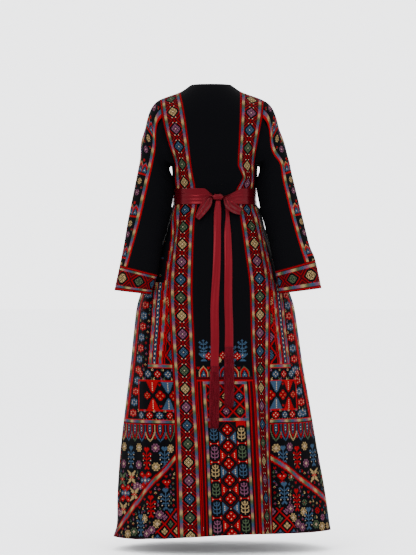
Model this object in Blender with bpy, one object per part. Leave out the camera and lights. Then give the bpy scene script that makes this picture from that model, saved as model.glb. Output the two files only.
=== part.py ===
"""A long embroidered thobe dress worn with its satin sash, as hollow cloth walls in its worn form.

Metres, +Z up. The front faces -Y, the wearer's left is +X. The origin lies between the shoulders,
halfway from back to front, where the wearer's shoulders carry the dress.
"""

import math

import bmesh
import bpy
import numpy as np

# Cloth
WALL = 0.002  # the embroidered cloth
SATIN = 0.0015  # the sash, which is sewn double
SEAM_GAP = 0.0003  # left between two pieces that are sewn together
LIFT = 0.0005  # what lies on a panel is this far out from it

# The body's heights
ARCH_BASE = -0.100  # the cloth starts to turn over the shoulders
ARM_LEVEL = -0.217  # bottom of the armholes
BELT_TOP = -0.2935
BELT_BOTTOM = -0.3455
FLARE_BASE = -0.900  # the hem's slant fades out up to here
HEM = -1.4205
HEM_RAISE_BACK = 0.012  # the hem is this much higher at the centre back
HEM_TILT = 0.012  # and this much higher on the wearer's right, and lower on the left

# The neck
NECK_HALF = 0.066
NECK_FRONT_DROP = 0.084

GATHERS = 16  # soft waves round the waist, drawn in by the sash
SLEEVE_STRIP_ARC = math.radians(72)  # of the sleeve's tube that the embroidered strip takes
SLEEVE_HEAD_OUT = 0.090  # how strongly the sleeve's head swells outwards before it falls
SLEEVE_HEAD_UP = 0.060
BELT_STEPS = (0.0, 0.25, 0.5, 0.75, 1.0)
BELT_PLEAT = 0.0014  # half the depth of its pleats where it draws in to the knot
BELT_CLEAR = 0.02  # its first column stands this far from its end, as an angle
BELT_UNDER = 0.475  # its ends lie this far from the knot's middle, as a share of the knot's width


def table(columns, *rows):
    """One array for each named column."""
    return dict(zip(columns.split(), np.array(rows, float).T))


# The body's outline at each height: middle, half width, squareness, and depth behind and in front.
# The first row lies below the hem, so that the cloth runs evenly to its edge.
BODY = table(
    "z middle half square back front",
    (-1.4600, -0.0345, 0.3660, 2.10, 0.243, 0.235),
    (-1.4205, -0.0370, 0.3560, 2.10, 0.239, 0.231),
    (-1.386, -0.0395, 0.3470, 2.10, 0.235, 0.227),
    (-1.291, -0.0340, 0.3380, 2.10, 0.226, 0.218),
    (-1.138, -0.0255, 0.3175, 2.12, 0.212, 0.203),
    (-0.987, -0.0215, 0.2955, 2.15, 0.198, 0.188),
    (-0.872, -0.0185, 0.2785, 2.18, 0.188, 0.177),
    (-0.757, -0.0160, 0.2650, 2.20, 0.178, 0.166),
    (-0.681, -0.0145, 0.2550, 2.20, 0.171, 0.158),
    (-0.625, -0.0140, 0.2380, 2.20, 0.165, 0.150),
    (-0.559, -0.0145, 0.2120, 2.22, 0.156, 0.143),
    (-0.494, -0.0150, 0.1870, 2.25, 0.143, 0.134),
    (-0.438, -0.0150, 0.1650, 2.30, 0.128, 0.122),
    (-0.390, -0.0150, 0.1520, 2.35, 0.112, 0.113),
    (-0.360, -0.0145, 0.1450, 2.40, 0.101, 0.107),
    (-0.345, -0.0125, 0.1370, 2.50, 0.094, 0.103),
    (-0.319, -0.0120, 0.1345, 2.50, 0.090, 0.101),
    (-0.293, -0.0125, 0.1355, 2.50, 0.094, 0.104),
    (-0.278, -0.0125, 0.1385, 2.50, 0.100, 0.109),
    (-0.250, -0.0125, 0.1390, 2.50, 0.106, 0.115),
    (-0.214, -0.0120, 0.1420, 2.50, 0.114, 0.120),
    (-0.160, -0.0090, 0.1650, 2.50, 0.118, 0.114),
    (-0.100, -0.0060, 0.1840, 2.50, 0.113, 0.101),
    (-0.050, -0.0030, 0.1960, 2.50, 0.112, 0.100),
    (0.000, -0.0020, 0.2040, 2.50, 0.112, 0.100),
    (0.080, -0.0020, 0.2060, 2.50, 0.112, 0.100),
)

# Height of the shoulder line at each distance from the middle. Inside the neck it is the line's own course.
SHOULDER = table(
    "x z",
    (0.000, 0.073),
    (0.030, 0.068),
    (0.063, 0.051),
    (0.099, 0.027),
    (0.163, 0.003),
    (0.180, -0.006),
    (0.200, -0.024),
)

# Where the seams run across the back, as X at each height. The front's seams mirror them.
SEAMS = table(
    "z left_inner left_outer right_inner right_outer",
    (-1.4205, 0.0255, 0.1065, -0.1620, -0.2075),
    (-1.291, 0.0295, 0.1105, -0.1560, -0.2010),
    (-1.140, 0.0345, 0.1145, -0.1485, -0.1940),
    (-1.040, 0.0400, 0.1180, -0.1440, -0.1910),
    (-0.980, 0.0440, 0.1205, -0.1410, -0.1895),
    (-0.868, 0.0490, 0.1270, -0.1320, -0.1890),
    (-0.787, 0.0520, 0.1320, -0.1280, -0.1895),
    (-0.625, 0.0585, 0.1385, -0.1240, -0.1905),
    (-0.495, 0.0560, 0.1290, -0.1080, -0.1740),
    (-0.390, 0.0510, 0.1200, -0.0930, -0.1530),
    (-0.346, 0.0445, 0.1160, -0.0860, -0.1405),
    (-0.306, 0.0480, 0.1150, -0.0800, -0.1385),
    (-0.280, 0.0515, 0.1150, -0.0900, -0.1395),
    (-0.257, 0.0560, 0.1160, -0.1010, -0.1400),
    (-0.240, 0.0590, 0.1165, -0.0950, -0.1410),
    (-0.217, 0.0630, 0.1175, -0.0855, -0.1417),
    (-0.188, 0.0665, 0.1249, -0.0865, -0.1449),
    (-0.152, 0.0705, 0.1376, -0.0885, -0.1514),
    (-0.100, 0.0772, 0.1520, -0.0908, -0.1610),
    (-0.050, 0.0850, 0.1620, -0.0925, -0.1700),
    (0.020, 0.0986, 0.1700, -0.0940, -0.1760),
)

# The largest folds: each runs down from z_top to z_low at an angle round the body, counted from the
# centre back towards the wearer's left. Rise is out of the cloth, and reach is the fold's half width.
FOLDS = table(
    "z_top z_low angle_top angle_low rise_top rise_low reach_top reach_low",
    (-0.780, HEM, 15.0, 15.5, 0.000, -0.010, 0.016, 0.018),
    (-0.780, HEM, -26.0, -27.5, 0.000, -0.014, 0.016, 0.018),
    (-0.700, HEM, -43.0, -38.5, 0.000, -0.026, 0.018, 0.021),
    (-0.360, HEM, -56.0, -47.0, 0.003, 0.010, 0.022, 0.034),
    (-0.355, -0.930, 62.0, 43.0, -0.004, -0.010, 0.012, 0.016),
    (-0.360, HEM, 75.0, 50.0, 0.003, 0.008, 0.020, 0.036),
    (-0.420, HEM, 96.0, 78.0, 0.002, 0.009, 0.025, 0.045),
    (-0.420, HEM, -92.0, -76.0, 0.002, 0.010, 0.025, 0.045),
    (-0.420, HEM, -118.0, -104.0, -0.002, -0.012, 0.024, 0.040),
    (-0.420, HEM, 120.0, 106.0, -0.002, -0.013, 0.024, 0.042),
    (-0.400, HEM, 140.0, 134.0, 0.003, 0.012, 0.022, 0.040),
    (-0.400, HEM, -141.0, -132.0, 0.003, 0.013, 0.022, 0.042),
    (-0.500, HEM, 160.0, 157.0, -0.002, -0.011, 0.020, 0.034),
    (-0.480, HEM, -166.0, -160.0, -0.002, -0.010, 0.020, 0.036),
    (-0.420, HEM, 176.0, 179.0, 0.002, 0.010, 0.020, 0.034),
    (-0.225, -0.290, -24.0, -46.0, 0.003, 0.005, 0.010, 0.012),
)

# How far the gathers stand out at each height.
GATHER_RISE = table(
    "z rise",
    (-0.620, 0.0),
    (-0.480, 0.0014),
    (-0.400, 0.0026),
    (-0.362, 0.0030),
    (-0.346, 0.0),
    (-0.293, 0.0),
    (-0.276, 0.0018),
    (-0.235, 0.0006),
    (-0.200, 0.0),
)

# Heights of the rows of points below the armholes.
BODY_ROWS = (
    HEM, -1.340, -1.235, -1.125, -1.015, -0.915, -0.820, -0.735, -0.660, -0.600, -0.540,
    -0.480, -0.425, -0.382, -0.358, BELT_BOTTOM, -0.3195, BELT_TOP, -0.276, -0.257, -0.238,
)  # fmt: skip
# Above them: metres below the arch, then shares of the way over the shoulder.
YOKE_ROWS = (ARM_LEVEL - ARCH_BASE, -0.078, -0.039, 0.0, 0.25, 0.5, 0.75, 1.0)

# Where the columns of the two centre panels meet the shoulder line and the neck, between their seams.
CENTER_COLUMNS = (-0.080, -NECK_HALF, -0.061, -0.050, -0.030, 0.0, 0.030, 0.050, 0.061, NECK_HALF, 0.082)

# The pieces round the body, from the centre back to the wearer's left and on round. The last number
# is how many columns of faces a piece has.
PANELS = (
    ("back_center", "right_inner", 0, "left_inner", 0, len(CENTER_COLUMNS) + 1),
    ("back_band_left", "left_inner", 0, "left_outer", 0, 5),
    ("side_left", "left_outer", 0, "left_outer", 1, 14),
    ("front_band_left", "left_outer", 1, "left_inner", 1, 5),
    ("front_center", "left_inner", 1, "right_inner", 1, len(CENTER_COLUMNS) + 1),
    ("front_band_right", "right_inner", 1, "right_outer", 1, 5),
    ("side_right", "right_outer", 1, "right_outer", 2, 14),
    ("back_band_right", "right_outer", 2, "right_inner", 2, 5),
)

# Each sleeve's rings: its outer and inner edge as seen from behind, its middle from back to front,
# its half depth, and the angle from its outer edge at which the strip's rear seam lies.
SLEEVES = {
    "left": table(
        "outer_x outer_z inner_x inner_z y deep strip",
        (0.2240, -0.1180, 0.1360, -0.2260, 0.006, 0.060, 88.0),
        (0.2330, -0.1950, 0.1290, -0.2560, 0.018, 0.058, 79.0),
        (0.2450, -0.2600, 0.1285, -0.2960, 0.030, 0.056, 74.0),
        (0.2710, -0.3950, 0.1457, -0.4145, 0.056, 0.054, 68.5),
        (0.2836, -0.4770, 0.1620, -0.5000, 0.090, 0.052, 61.0),
        (0.2960, -0.5430, 0.1744, -0.5740, 0.116, 0.050, 55.0),
        (0.3132, -0.6250, 0.1941, -0.6390, 0.131, 0.052, 54.0),
    ),
    "right": table(
        "outer_x outer_z inner_x inner_z y deep strip",
        (-0.2320, -0.1160, -0.1600, -0.2260, 0.006, 0.060, 88.0),
        (-0.2550, -0.1950, -0.1560, -0.2560, 0.018, 0.058, 67.0),
        (-0.2680, -0.2560, -0.1570, -0.2960, 0.030, 0.056, 67.5),
        (-0.2987, -0.3850, -0.1793, -0.4145, 0.056, 0.054, 66.5),
        (-0.3204, -0.4770, -0.1950, -0.5000, 0.086, 0.053, 62.0),
        (-0.3385, -0.5264, -0.2083, -0.5626, 0.108, 0.052, 63.0),
        (-0.3583, -0.6185, -0.2194, -0.6363, 0.122, 0.054, 62.0),
    ),
}
CUFF_RING = 6  # the sleeve's cloth ends and the cuff band starts here, counted from the armhole
SLEEVE_STEPS = (3, 2, 1, 2, 1, 1, 2)  # rows of faces from the armhole and from each ring to the next
STRIP_BEHIND = 3  # the strip's rear seam meets the armhole this many points behind the shoulder
STRIP_AHEAD = 1  # and its front seam this many points in front of it

# The sash
KNOT = dict(x=-0.0223, z=-0.3225, wide=0.038, tall=0.024, deep=0.018, lift=0.0011, nipped=0.16, turn=0.35)
# On each side of the knot, the band draws in over this length to these edges.
BELT_AT_KNOT = {
    "left": dict(over=0.026, top=-0.3115, bottom=-0.3350),
    "right": dict(over=0.060, top=-0.3190, bottom=-0.3430),
}
TAILS = {
    "left": table(
        "z x wide lift",
        (-0.873, -0.0117, 0.0265, 0.0010),
        (-0.750, -0.0114, 0.0270, 0.0010),
        (-0.550, -0.0169, 0.0250, 0.0012),
        (-0.430, -0.0214, 0.0235, 0.0022),
        (-0.372, -0.0218, 0.0245, 0.0055),
        (-0.3336, -0.0223, 0.0150, 0.0078),
    ),
    "right": table(
        "z x wide lift",
        (-0.811, -0.0577, 0.0280, 0.0010),
        (-0.750, -0.0577, 0.0265, 0.0010),
        (-0.550, -0.0551, 0.0255, 0.0012),
        (-0.450, -0.0549, 0.0230, 0.0022),
        (-0.385, -0.0545, 0.0130, 0.0026),
        (-0.3520, -0.0500, 0.0100, 0.0022),
    ),
}
FRINGES = {"left": (-0.873, -1.070, -0.0117, -0.0091), "right": (-0.811, -1.003, -0.0577, -0.0575)}
FRINGE_STRIP = dict(wide=0.030, tall=0.006, deep=0.0062)
STRANDS_ACROSS = 10
STRAND_ROWS = 3
STRAND_RADIUS = 0.0009
STRAND_STEPS = 5
STRAND_CLEAR = 0.0025  # each strand runs straight until this far below the strip

# Each loop of the bow, from the knot to its tip: where its middle lies, half its width, half the
# space between its two layers, and how far out from the dress it stands.
LOOPS = {
    "left": table(
        "x z wide deep lift",
        (-0.0004, -0.3232, 0.0070, 0.0024, 0.0100),
        (0.0085, -0.3320, 0.0145, 0.0045, 0.0112),
        (0.0160, -0.3470, 0.0162, 0.0060, 0.0118),
        (0.0290, -0.3680, 0.0140, 0.0060, 0.0112),
        (0.0400, -0.3850, 0.0105, 0.0045, 0.0098),
        (0.0459, -0.3930, 0.0085, 0.0024, 0.0088),
    ),
    "right": table(
        "x z wide deep lift",
        (-0.0446, -0.3236, 0.0065, 0.0024, 0.0100),
        (-0.0530, -0.3345, 0.0130, 0.0042, 0.0120),
        (-0.0620, -0.3490, 0.0158, 0.0056, 0.0130),
        (-0.0770, -0.3600, 0.0155, 0.0056, 0.0125),
        (-0.0910, -0.3670, 0.0130, 0.0042, 0.0108),
        (-0.0990, -0.3705, 0.0112, 0.0024, 0.0096),
    ),
}
LOOP_STEPS = 4
LOOP_WALL = 0.0012

# Colours of the cloth, as linear red, green and blue
BLACK_CREPE = (0.004, 0.004, 0.005)
EMBROIDERY = (0.30, 0.02, 0.03)
BURGUNDY = (0.26, 0.010, 0.022)
FRINGE_RED = (0.14, 0.008, 0.016)


def curve(rows, column, at="z"):
    """A smooth curve through one column of a table, with no bump between its rows."""
    x, y = rows[at], rows[column]
    rise = np.diff(y) / np.diff(x)
    same = rise[1:] * rise[:-1] > 0
    mean = 2 * rise[1:] * rise[:-1] / np.where(same, rise[1:] + rise[:-1], 1)
    slope = np.concatenate([rise[:1], np.where(same, mean, 0), rise[-1:]])

    def value(where):
        where = np.clip(where, x[0], x[-1])
        i = np.clip(np.searchsorted(x, where) - 1, 0, len(x) - 2)
        step = x[i + 1] - x[i]
        t = (where - x[i]) / step
        start = (1 + 2 * t) * (1 - t) ** 2 * y[i] + t * (1 - t) ** 2 * step * slope[i]
        return start + t * t * (3 - 2 * t) * y[i + 1] + t * t * (t - 1) * step * slope[i + 1]

    return value


body = {name: curve(BODY, name) for name in BODY if name != "z"}
seam_x = {name: curve(SEAMS, name) for name in SEAMS if name != "z"}
shoulder_z = curve(SHOULDER, "z", at="x")
NECK_BACK = float(shoulder_z(NECK_HALF))  # the neck's height at its corners and all across the back
gather_rise = curve(GATHER_RISE, "rise")


def outline(angle, z):
    """The body's plain outline at a height: X, Y and the distance from its middle."""
    square = body["square"](z)
    depth = np.where(np.cos(angle) > 0, body["back"](z), body["front"](z))
    across = (np.abs(np.sin(angle)) / body["half"](z)) ** square
    along = (np.abs(np.cos(angle)) / depth) ** square
    reach = (across + along) ** (-1 / square)
    return body["middle"](z) + reach * np.sin(angle), reach * np.cos(angle), reach


def angle_at(x, z, turns):
    """The angle of the outline's point at X: behind for 0 or 2 turns of half a circle, in front for 1."""
    square = body["square"](z)
    depth = body["front"](z) if turns == 1 else body["back"](z)
    off = x - body["middle"](z)
    share = np.clip(np.abs(off) / body["half"](z), 0, 0.999)
    y = depth * (1 - share**square) ** (1 / square)
    angle = np.arctan2(off, y)
    return math.pi - angle if turns == 1 else angle + turns * math.pi


def seam_angle(seam, turns, level):
    """The seam's angle round the body. A level is metres from the arch's base, or a share of the arch."""
    top = shoulder_z(np.abs(SEAMS[seam][-1])) - ARCH_BASE
    z = ARCH_BASE + np.where(level > 0, top * np.sin(level * math.pi / 2), level)
    return angle_at(seam_x[seam](z), z, turns)


def hem_slant(angle):
    """The hem is a little higher at the back and on the wearer's right."""
    return HEM_RAISE_BACK * np.clip(np.cos(angle), 0, 1) ** 2 - HEM_TILT * np.sin(angle)


def wrapped(angle):
    return (angle + math.pi) % (2 * math.pi) - math.pi


def fold_rise(angle, z, reach):
    """How far the folds and gathers move the cloth out."""
    total = gather_rise(z) * np.cos(GATHERS * angle) * (1 - 0.8 * np.cos(angle / 2) ** 16)
    for i in range(len(FOLDS["z_top"])):
        fold = {name: column[i] for name, column in FOLDS.items()}
        share = np.clip((fold["z_top"] - z) / (fold["z_top"] - fold["z_low"]), 0, 1)
        ease = np.clip((fold["z_top"] - z) / 0.06, 0, 1)
        middle = np.radians(fold["angle_top"] + share * (fold["angle_low"] - fold["angle_top"]))
        rise = fold["rise_top"] + share * (fold["rise_low"] - fold["rise_top"])
        width = fold["reach_top"] + share * (fold["reach_low"] - fold["reach_top"])
        if fold["z_low"] > BELT_TOP - 0.01:
            ease = ease * np.clip((z - fold["z_low"]) / 0.02, 0, 1)
        off = reach * wrapped(angle - middle) / width
        total = total + ease * ease * (3 - 2 * ease) * rise * np.exp(-off * off)
    return total


def over_shoulder(angle, level):
    """How far the cloth has turned over the shoulder at a level, and how far it is below the arch."""
    x_top = np.abs(outline(angle, np.zeros_like(angle))[0])
    crest = shoulder_z(x_top) - ARCH_BASE
    inside = np.clip(1 - (x_top / NECK_HALF) ** 2, 0, 1)
    neck = np.where(np.cos(angle) > 0, NECK_BACK, NECK_BACK - NECK_FRONT_DROP * inside)
    full_turn = np.arcsin(np.clip((neck - ARCH_BASE) / crest, 0, 1))
    full_turn = np.where(x_top < NECK_HALF, full_turn, math.pi / 2)
    return np.clip(level, 0, 1) * full_turn, np.minimum(level, 0)


def plain_body(angle, turn, below):
    """The body's cloth without folds, its height before the hem's slant, and the outline's reach."""
    x_top = np.abs(outline(angle, np.zeros_like(angle))[0])
    z = ARCH_BASE + below + (shoulder_z(x_top) - ARCH_BASE) * np.sin(turn)
    low = np.clip((FLARE_BASE - z) / (FLARE_BASE - HEM), 0, 1)
    x, y, reach = outline(angle, z)
    points = np.stack([x, y * np.cos(turn), z + hem_slant(angle) * low], -1)
    return points, z, reach


def normals_of(surface, angle, turn, below, step=0.0008):
    along = surface(angle + step, turn, below) - surface(angle - step, turn, below)
    arch = np.where(turn > 0, step, 0)
    drop = step - arch
    up = surface(angle, turn + arch, np.minimum(below + drop, 0)) - surface(angle, turn - arch, below - drop)
    normal = np.cross(up, along)
    return normal / np.linalg.norm(normal, axis=-1, keepdims=True)


def folded_body(angle, turn, below):
    """The body's cloth with its folds."""
    points, z, reach = plain_body(angle, turn, below)
    plain = normals_of(lambda a, t, b: plain_body(a, t, b)[0], angle, turn, below)
    return points + fold_rise(angle, z, reach)[..., None] * plain


def skin(angle, level):
    """The outer face of the body's cloth."""
    return folded_body(angle, *over_shoulder(angle, level))


def skin_normals(angle, level):
    return normals_of(folded_body, angle, *over_shoulder(angle, level))


def column_shares(name):
    """How far across a panel each of its columns lies, from 0 to 1."""
    _, first, turns, last, last_turns, columns = next(p for p in PANELS if p[0] == name)
    if columns != len(CENTER_COLUMNS) + 1:
        return np.linspace(0, 1, columns + 1)
    ends = float(seam_angle(first, turns, np.array(1.0))), float(seam_angle(last, last_turns, np.array(1.0)))
    across = np.array(CENTER_COLUMNS[::-1] if turns else CENTER_COLUMNS)
    middle = (angle_at(across, np.zeros_like(across), turns) - ends[0]) / (ends[1] - ends[0])
    return np.concatenate([[0], middle, [1]])


def body_grid(name, levels):
    """Angles of a panel's points at these levels, as rows of columns."""
    _, first, first_turns, last, last_turns, _ = next(p for p in PANELS if p[0] == name)
    level = np.array(levels, float)[:, None]
    start = seam_angle(first, first_turns, level)
    end = seam_angle(last, last_turns, level)
    return start + (end - start) * column_shares(name), level


def unit(vectors):
    return vectors / np.maximum(np.linalg.norm(vectors, axis=-1, keepdims=True), 1e-12)


def along_edge(points):
    """The direction of an edge at each of its points."""
    return unit(np.gradient(points, axis=0))


def seam_shift(edge, normal, inward):
    """Half the gap of a seam, square to the edge and its rim, towards the piece."""
    away = unit(np.cross(along_edge(edge), normal))
    side = np.sign((away * inward).sum(-1, keepdims=True))
    return away * side * SEAM_GAP / 2


def material(name, colour, roughness, sheen=0.0):
    made = bpy.data.materials.new(name)
    made.use_nodes = True
    shader = made.node_tree.nodes["Principled BSDF"]
    shader.inputs["Base Color"].default_value = (*colour, 1)
    shader.inputs["Roughness"].default_value = roughness
    shader.inputs["Sheen Weight"].default_value = sheen
    made.diffuse_color = (*colour, 1)
    return made


def add_object(name, points, faces, cloth):
    """A closed mesh in the dress's collection, with its faces pointing out."""
    mesh = bpy.data.meshes.new(name)
    shape = bmesh.new()
    made = [shape.verts.new(point) for point in points]
    for face in faces:
        shape.faces.new([made[i] for i in face])
    bmesh.ops.recalc_face_normals(shape, faces=shape.faces)
    if shape.calc_volume(signed=True) < 0:
        bmesh.ops.reverse_faces(shape, faces=shape.faces)
    shape.to_mesh(mesh)
    shape.free()
    mesh.materials.append(cloth)
    mesh.shade_smooth()
    mesh.set_sharp_from_angle(angle=math.radians(40))
    made_object = bpy.data.objects.new(name, mesh)
    dress.objects.link(made_object)
    return made_object


def shell(name, outer, normal, wall, cloth, tube=False):
    """A wall of cloth: rows of outer points, the same moved in by the wall, and the rims between them."""
    outer = outer.copy()
    if len(outer) > 1:
        first = seam_shift(outer[0], normal[0], outer[1] - outer[0])
        last = seam_shift(outer[-1], normal[-1], outer[-2] - outer[-1])
    if not tube:
        left = seam_shift(outer[:, 0], normal[:, 0], outer[:, 1] - outer[:, 0])
        right = seam_shift(outer[:, -1], normal[:, -1], outer[:, -2] - outer[:, -1])
        outer[:, 0] += left
        outer[:, -1] += right
    outer[0] += first
    outer[-1] += last
    rows, columns = outer.shape[:2]
    inner = outer - wall * normal
    points = np.concatenate([outer.reshape(-1, 3), inner.reshape(-1, 3)])
    behind = rows * columns
    faces = []
    for i in range(rows - 1):
        for j in range(columns if tube else columns - 1):
            k = (j + 1) % columns
            a, b, c, d = i * columns + j, i * columns + k, (i + 1) * columns + k, (i + 1) * columns + j
            # Both faces of the wall are split along the same, shorter diagonal, so that they can't cross.
            if np.linalg.norm(points[a] - points[c]) <= np.linalg.norm(points[b] - points[d]):
                halves = ((a, b, c), (a, c, d))
            else:
                halves = ((a, b, d), (b, c, d))
            for half in halves:
                faces += [half, tuple(corner + behind for corner in half[::-1])]
    for i in (0, rows - 1):
        for j in range(columns if tube else columns - 1):
            a, b = i * columns + j, i * columns + (j + 1) % columns
            faces.append((a, b, b + behind, a + behind))
    if not tube:
        for j in (0, columns - 1):
            for i in range(rows - 1):
                a, b = i * columns + j, (i + 1) * columns + j
                faces.append((a, b, b + behind, a + behind))
    return add_object(name, points, faces, cloth)


def panel_levels(name):
    below = [z - ARCH_BASE for z in BODY_ROWS]
    if name.startswith("side"):
        return below + [YOKE_ROWS[0]]
    return below + list(YOKE_ROWS)


def ring_points(rows, i, angle):
    """A point of the sleeve's ring i at an angle from its outer edge, towards the back."""
    outer = np.stack([rows["outer_x"][i], rows["y"][i], rows["outer_z"][i]], -1)
    inner = np.stack([rows["inner_x"][i], rows["y"][i], rows["inner_z"][i]], -1)
    middle, across = (outer + inner) / 2, (outer - inner) / 2
    back = np.array([0, rows["deep"][i], 0])
    return middle + across * np.cos(angle)[:, None] + back * np.sin(angle)[:, None]


def armhole(side):
    """The armhole's points and the body's normals there: shoulder, back edge, bottom, front edge."""
    turns = (0, 1) if side == "left" else (2, 1)
    seam = side + "_outer"
    down = np.array(YOKE_ROWS[::-1], float)
    back = seam_angle(seam, turns[0], down)
    front = seam_angle(seam, turns[1], down[::-1])
    bottom, level = body_grid("side_" + side, [YOKE_ROWS[0]])
    under = bottom[0, 1:-1] if side == "left" else bottom[0, -2:0:-1]
    angle = np.concatenate([back, under, front[:-1]])
    level = np.concatenate([down, np.full(len(under), YOKE_ROWS[0]), down[::-1][:-1]])
    return skin(angle, level), skin_normals(angle, level)


def sleeve_grid(side):
    """The sleeve's outer points from the armhole to the cuff's end, and their normals."""
    rows = SLEEVES[side]
    hole, hole_normal = armhole(side)
    count = len(hole)
    side_columns = next(p[-1] for p in PANELS if p[0] == "side_" + side)
    lowest = len(YOKE_ROWS) - 1 + side_columns // 2
    order = np.arange(count)
    rings = [hole]
    for i in range(len(rows["y"])):
        rear = math.radians(rows["strip"][i])
        known = (0, STRIP_BEHIND, lowest, count - STRIP_AHEAD, count)
        front = rear - SLEEVE_STRIP_ARC
        share = STRIP_AHEAD / (STRIP_AHEAD + STRIP_BEHIND)
        top = front + share * SLEEVE_STRIP_ARC
        angles = (top, rear, math.pi, 2 * math.pi + front, 2 * math.pi + top)
        rings.append(ring_points(rows, i, np.interp(order, known, angles)))
    rings = np.array(rings)
    # The first tangent leaves the shoulder outwards, and the armpit downwards.
    outward = np.array([1.0 if side == "left" else -1.0, 0, 0])
    upward = np.array([0, 0, 1.0])
    high = np.clip((hole[:, 2:] - ARM_LEVEL) / (-ARM_LEVEL), 0, 1)
    tangents = np.gradient(rings, axis=0)
    tangents[0] = rings[1] - rings[0] + (outward * SLEEVE_HEAD_OUT + upward * SLEEVE_HEAD_UP) * high
    grid = []
    for i in range(len(rings) - 1):
        for t in np.arange(SLEEVE_STEPS[i]) / SLEEVE_STEPS[i]:
            point = (1 + 2 * t) * (1 - t) ** 2 * rings[i] + t * (1 - t) ** 2 * tangents[i]
            point = point + t * t * (3 - 2 * t) * rings[i + 1] + t * t * (t - 1) * tangents[i + 1]
            grid.append(point)
    grid.append(rings[-1])
    grid = np.array(grid)
    down = np.gradient(grid, axis=0)
    around = np.roll(grid, -1, axis=1) - np.roll(grid, 1, axis=1)
    normal = unit(np.cross(down, around))
    normal *= np.sign((normal[-1] * (grid[-1] - grid[-1].mean(0))).sum())
    # At the armhole the two walls share one rim, halfway between their own.
    normal[0] = unit(normal[0] + hole_normal)
    return grid, normal


def build_body(cloths):
    """The panels. The walls that meet an armhole share the sleeve's rim there."""
    shared = {side: sleeve_grid(side) for side in SLEEVES}
    for name, *_ in PANELS:
        angle, level = body_grid(name, panel_levels(name))
        level = np.broadcast_to(level, angle.shape)
        outer, normal = skin(angle, level), skin_normals(angle, level)
        for side, (grid, rim) in shared.items():
            for row in range(len(angle)):
                for column in range(angle.shape[1]):
                    gap = np.linalg.norm(grid[0] - outer[row, column], axis=-1)
                    if gap.min() < 1e-6:
                        normal[row, column] = rim[0][gap.argmin()]
        shell(name, outer, normal, WALL, cloths["crepe" if "center" in name else "embroidery"])
    return shared


def build_sleeves(shared, cloths):
    cuff_row = sum(SLEEVE_STEPS[:CUFF_RING])
    for side, (grid, normal) in shared.items():
        count = grid.shape[1]
        main = np.arange(STRIP_BEHIND, count - STRIP_AHEAD + 1)
        strip = np.arange(-STRIP_AHEAD, STRIP_BEHIND + 1) % count
        upper = slice(0, cuff_row + 1)
        crepe, stitched = cloths["crepe"], cloths["embroidery"]
        shell("sleeve_" + side, grid[upper, main], normal[upper, main], WALL, crepe)
        shell("sleeve_strip_" + side, grid[upper, strip], normal[upper, strip], WALL, stitched)
        cuff = slice(cuff_row, len(grid))
        shell("cuff_" + side, grid[cuff], normal[cuff], WALL, stitched, tube=True)


def belt_edges(x, y):
    """Heights of the band's upper and lower edge, and how far it has drawn in to the knot."""
    side = np.where(x > KNOT["x"], "left", "right")
    over, knot_top, knot_bottom = (
        np.array([BELT_AT_KNOT[s][name] for s in side]) for name in ("over", "top", "bottom")
    )
    near = np.clip(1 - (np.abs(x - KNOT["x"]) - KNOT["wide"] / 2) / over, 0, 1)
    ease = np.where(y > 0, near * near * (3 - 2 * near), 0)
    return BELT_TOP + (knot_top - BELT_TOP) * ease, BELT_BOTTOM + (knot_bottom - BELT_BOTTOM) * ease, ease


def straight_skin(angle, z):
    """The cloth as its flat faces run between the rows of points, and its normals."""
    rows = np.array(BODY_ROWS)
    i = np.clip(np.searchsorted(rows, z) - 1, 0, len(rows) - 2)
    share = ((z - rows[i]) / (rows[i + 1] - rows[i]))[:, None]
    ends = [rows[i] - ARCH_BASE, rows[i + 1] - ARCH_BASE]
    low, high = (skin(angle, level) for level in ends)
    low_normal, high_normal = (skin_normals(angle, level) for level in ends)
    return low + (high - low) * share, unit(low_normal + (high_normal - low_normal) * share)


def build_belt(cloths):
    """The band round the waist, made from the body's own points moved out, open behind the knot."""
    middle = (BELT_TOP + BELT_BOTTOM) / 2 - ARCH_BASE
    angles = [body_grid(name, [middle])[0][0, :-1] for name, *_ in PANELS]
    at_knot = angle_at(KNOT["x"], middle + ARCH_BASE, 0)
    half = KNOT["wide"] * BELT_UNDER / body["back"](middle + ARCH_BASE)
    start, end = at_knot + half, at_knot - half + 2 * math.pi
    inside = np.concatenate([*angles, *(a + 2 * math.pi for a in angles)])
    inside = inside[(inside > start + BELT_CLEAR) & (inside < end - BELT_CLEAR)]
    angle = np.concatenate([[start], inside, [end]])
    x, y, _ = outline(angle, np.full_like(angle, middle + ARCH_BASE))
    top, bottom, ease = belt_edges(x, y)
    rows, normals = [], []
    for share in BELT_STEPS:
        base, normal = straight_skin(angle, bottom + (top - bottom) * share)
        pleats = BELT_PLEAT * ease * (1 + np.cos(share * 4 * math.pi))
        rows.append(base + (LIFT + SATIN + pleats)[:, None] * normal)
        normals.append(normal)
    shell("sash_band", np.array(rows), np.array(normals), SATIN, cloths["satin"])


def skin_y(x, z):
    """How far back the cloth lies at a place behind the wearer."""
    angle = angle_at(x, z, 0)
    for _ in range(4):
        point = skin(angle, z - ARCH_BASE)
        angle = angle + (x - point[..., 0]) / np.maximum(outline(angle, z)[2], 0.05)
    return skin(angle, z - ARCH_BASE)[..., 1]


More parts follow.
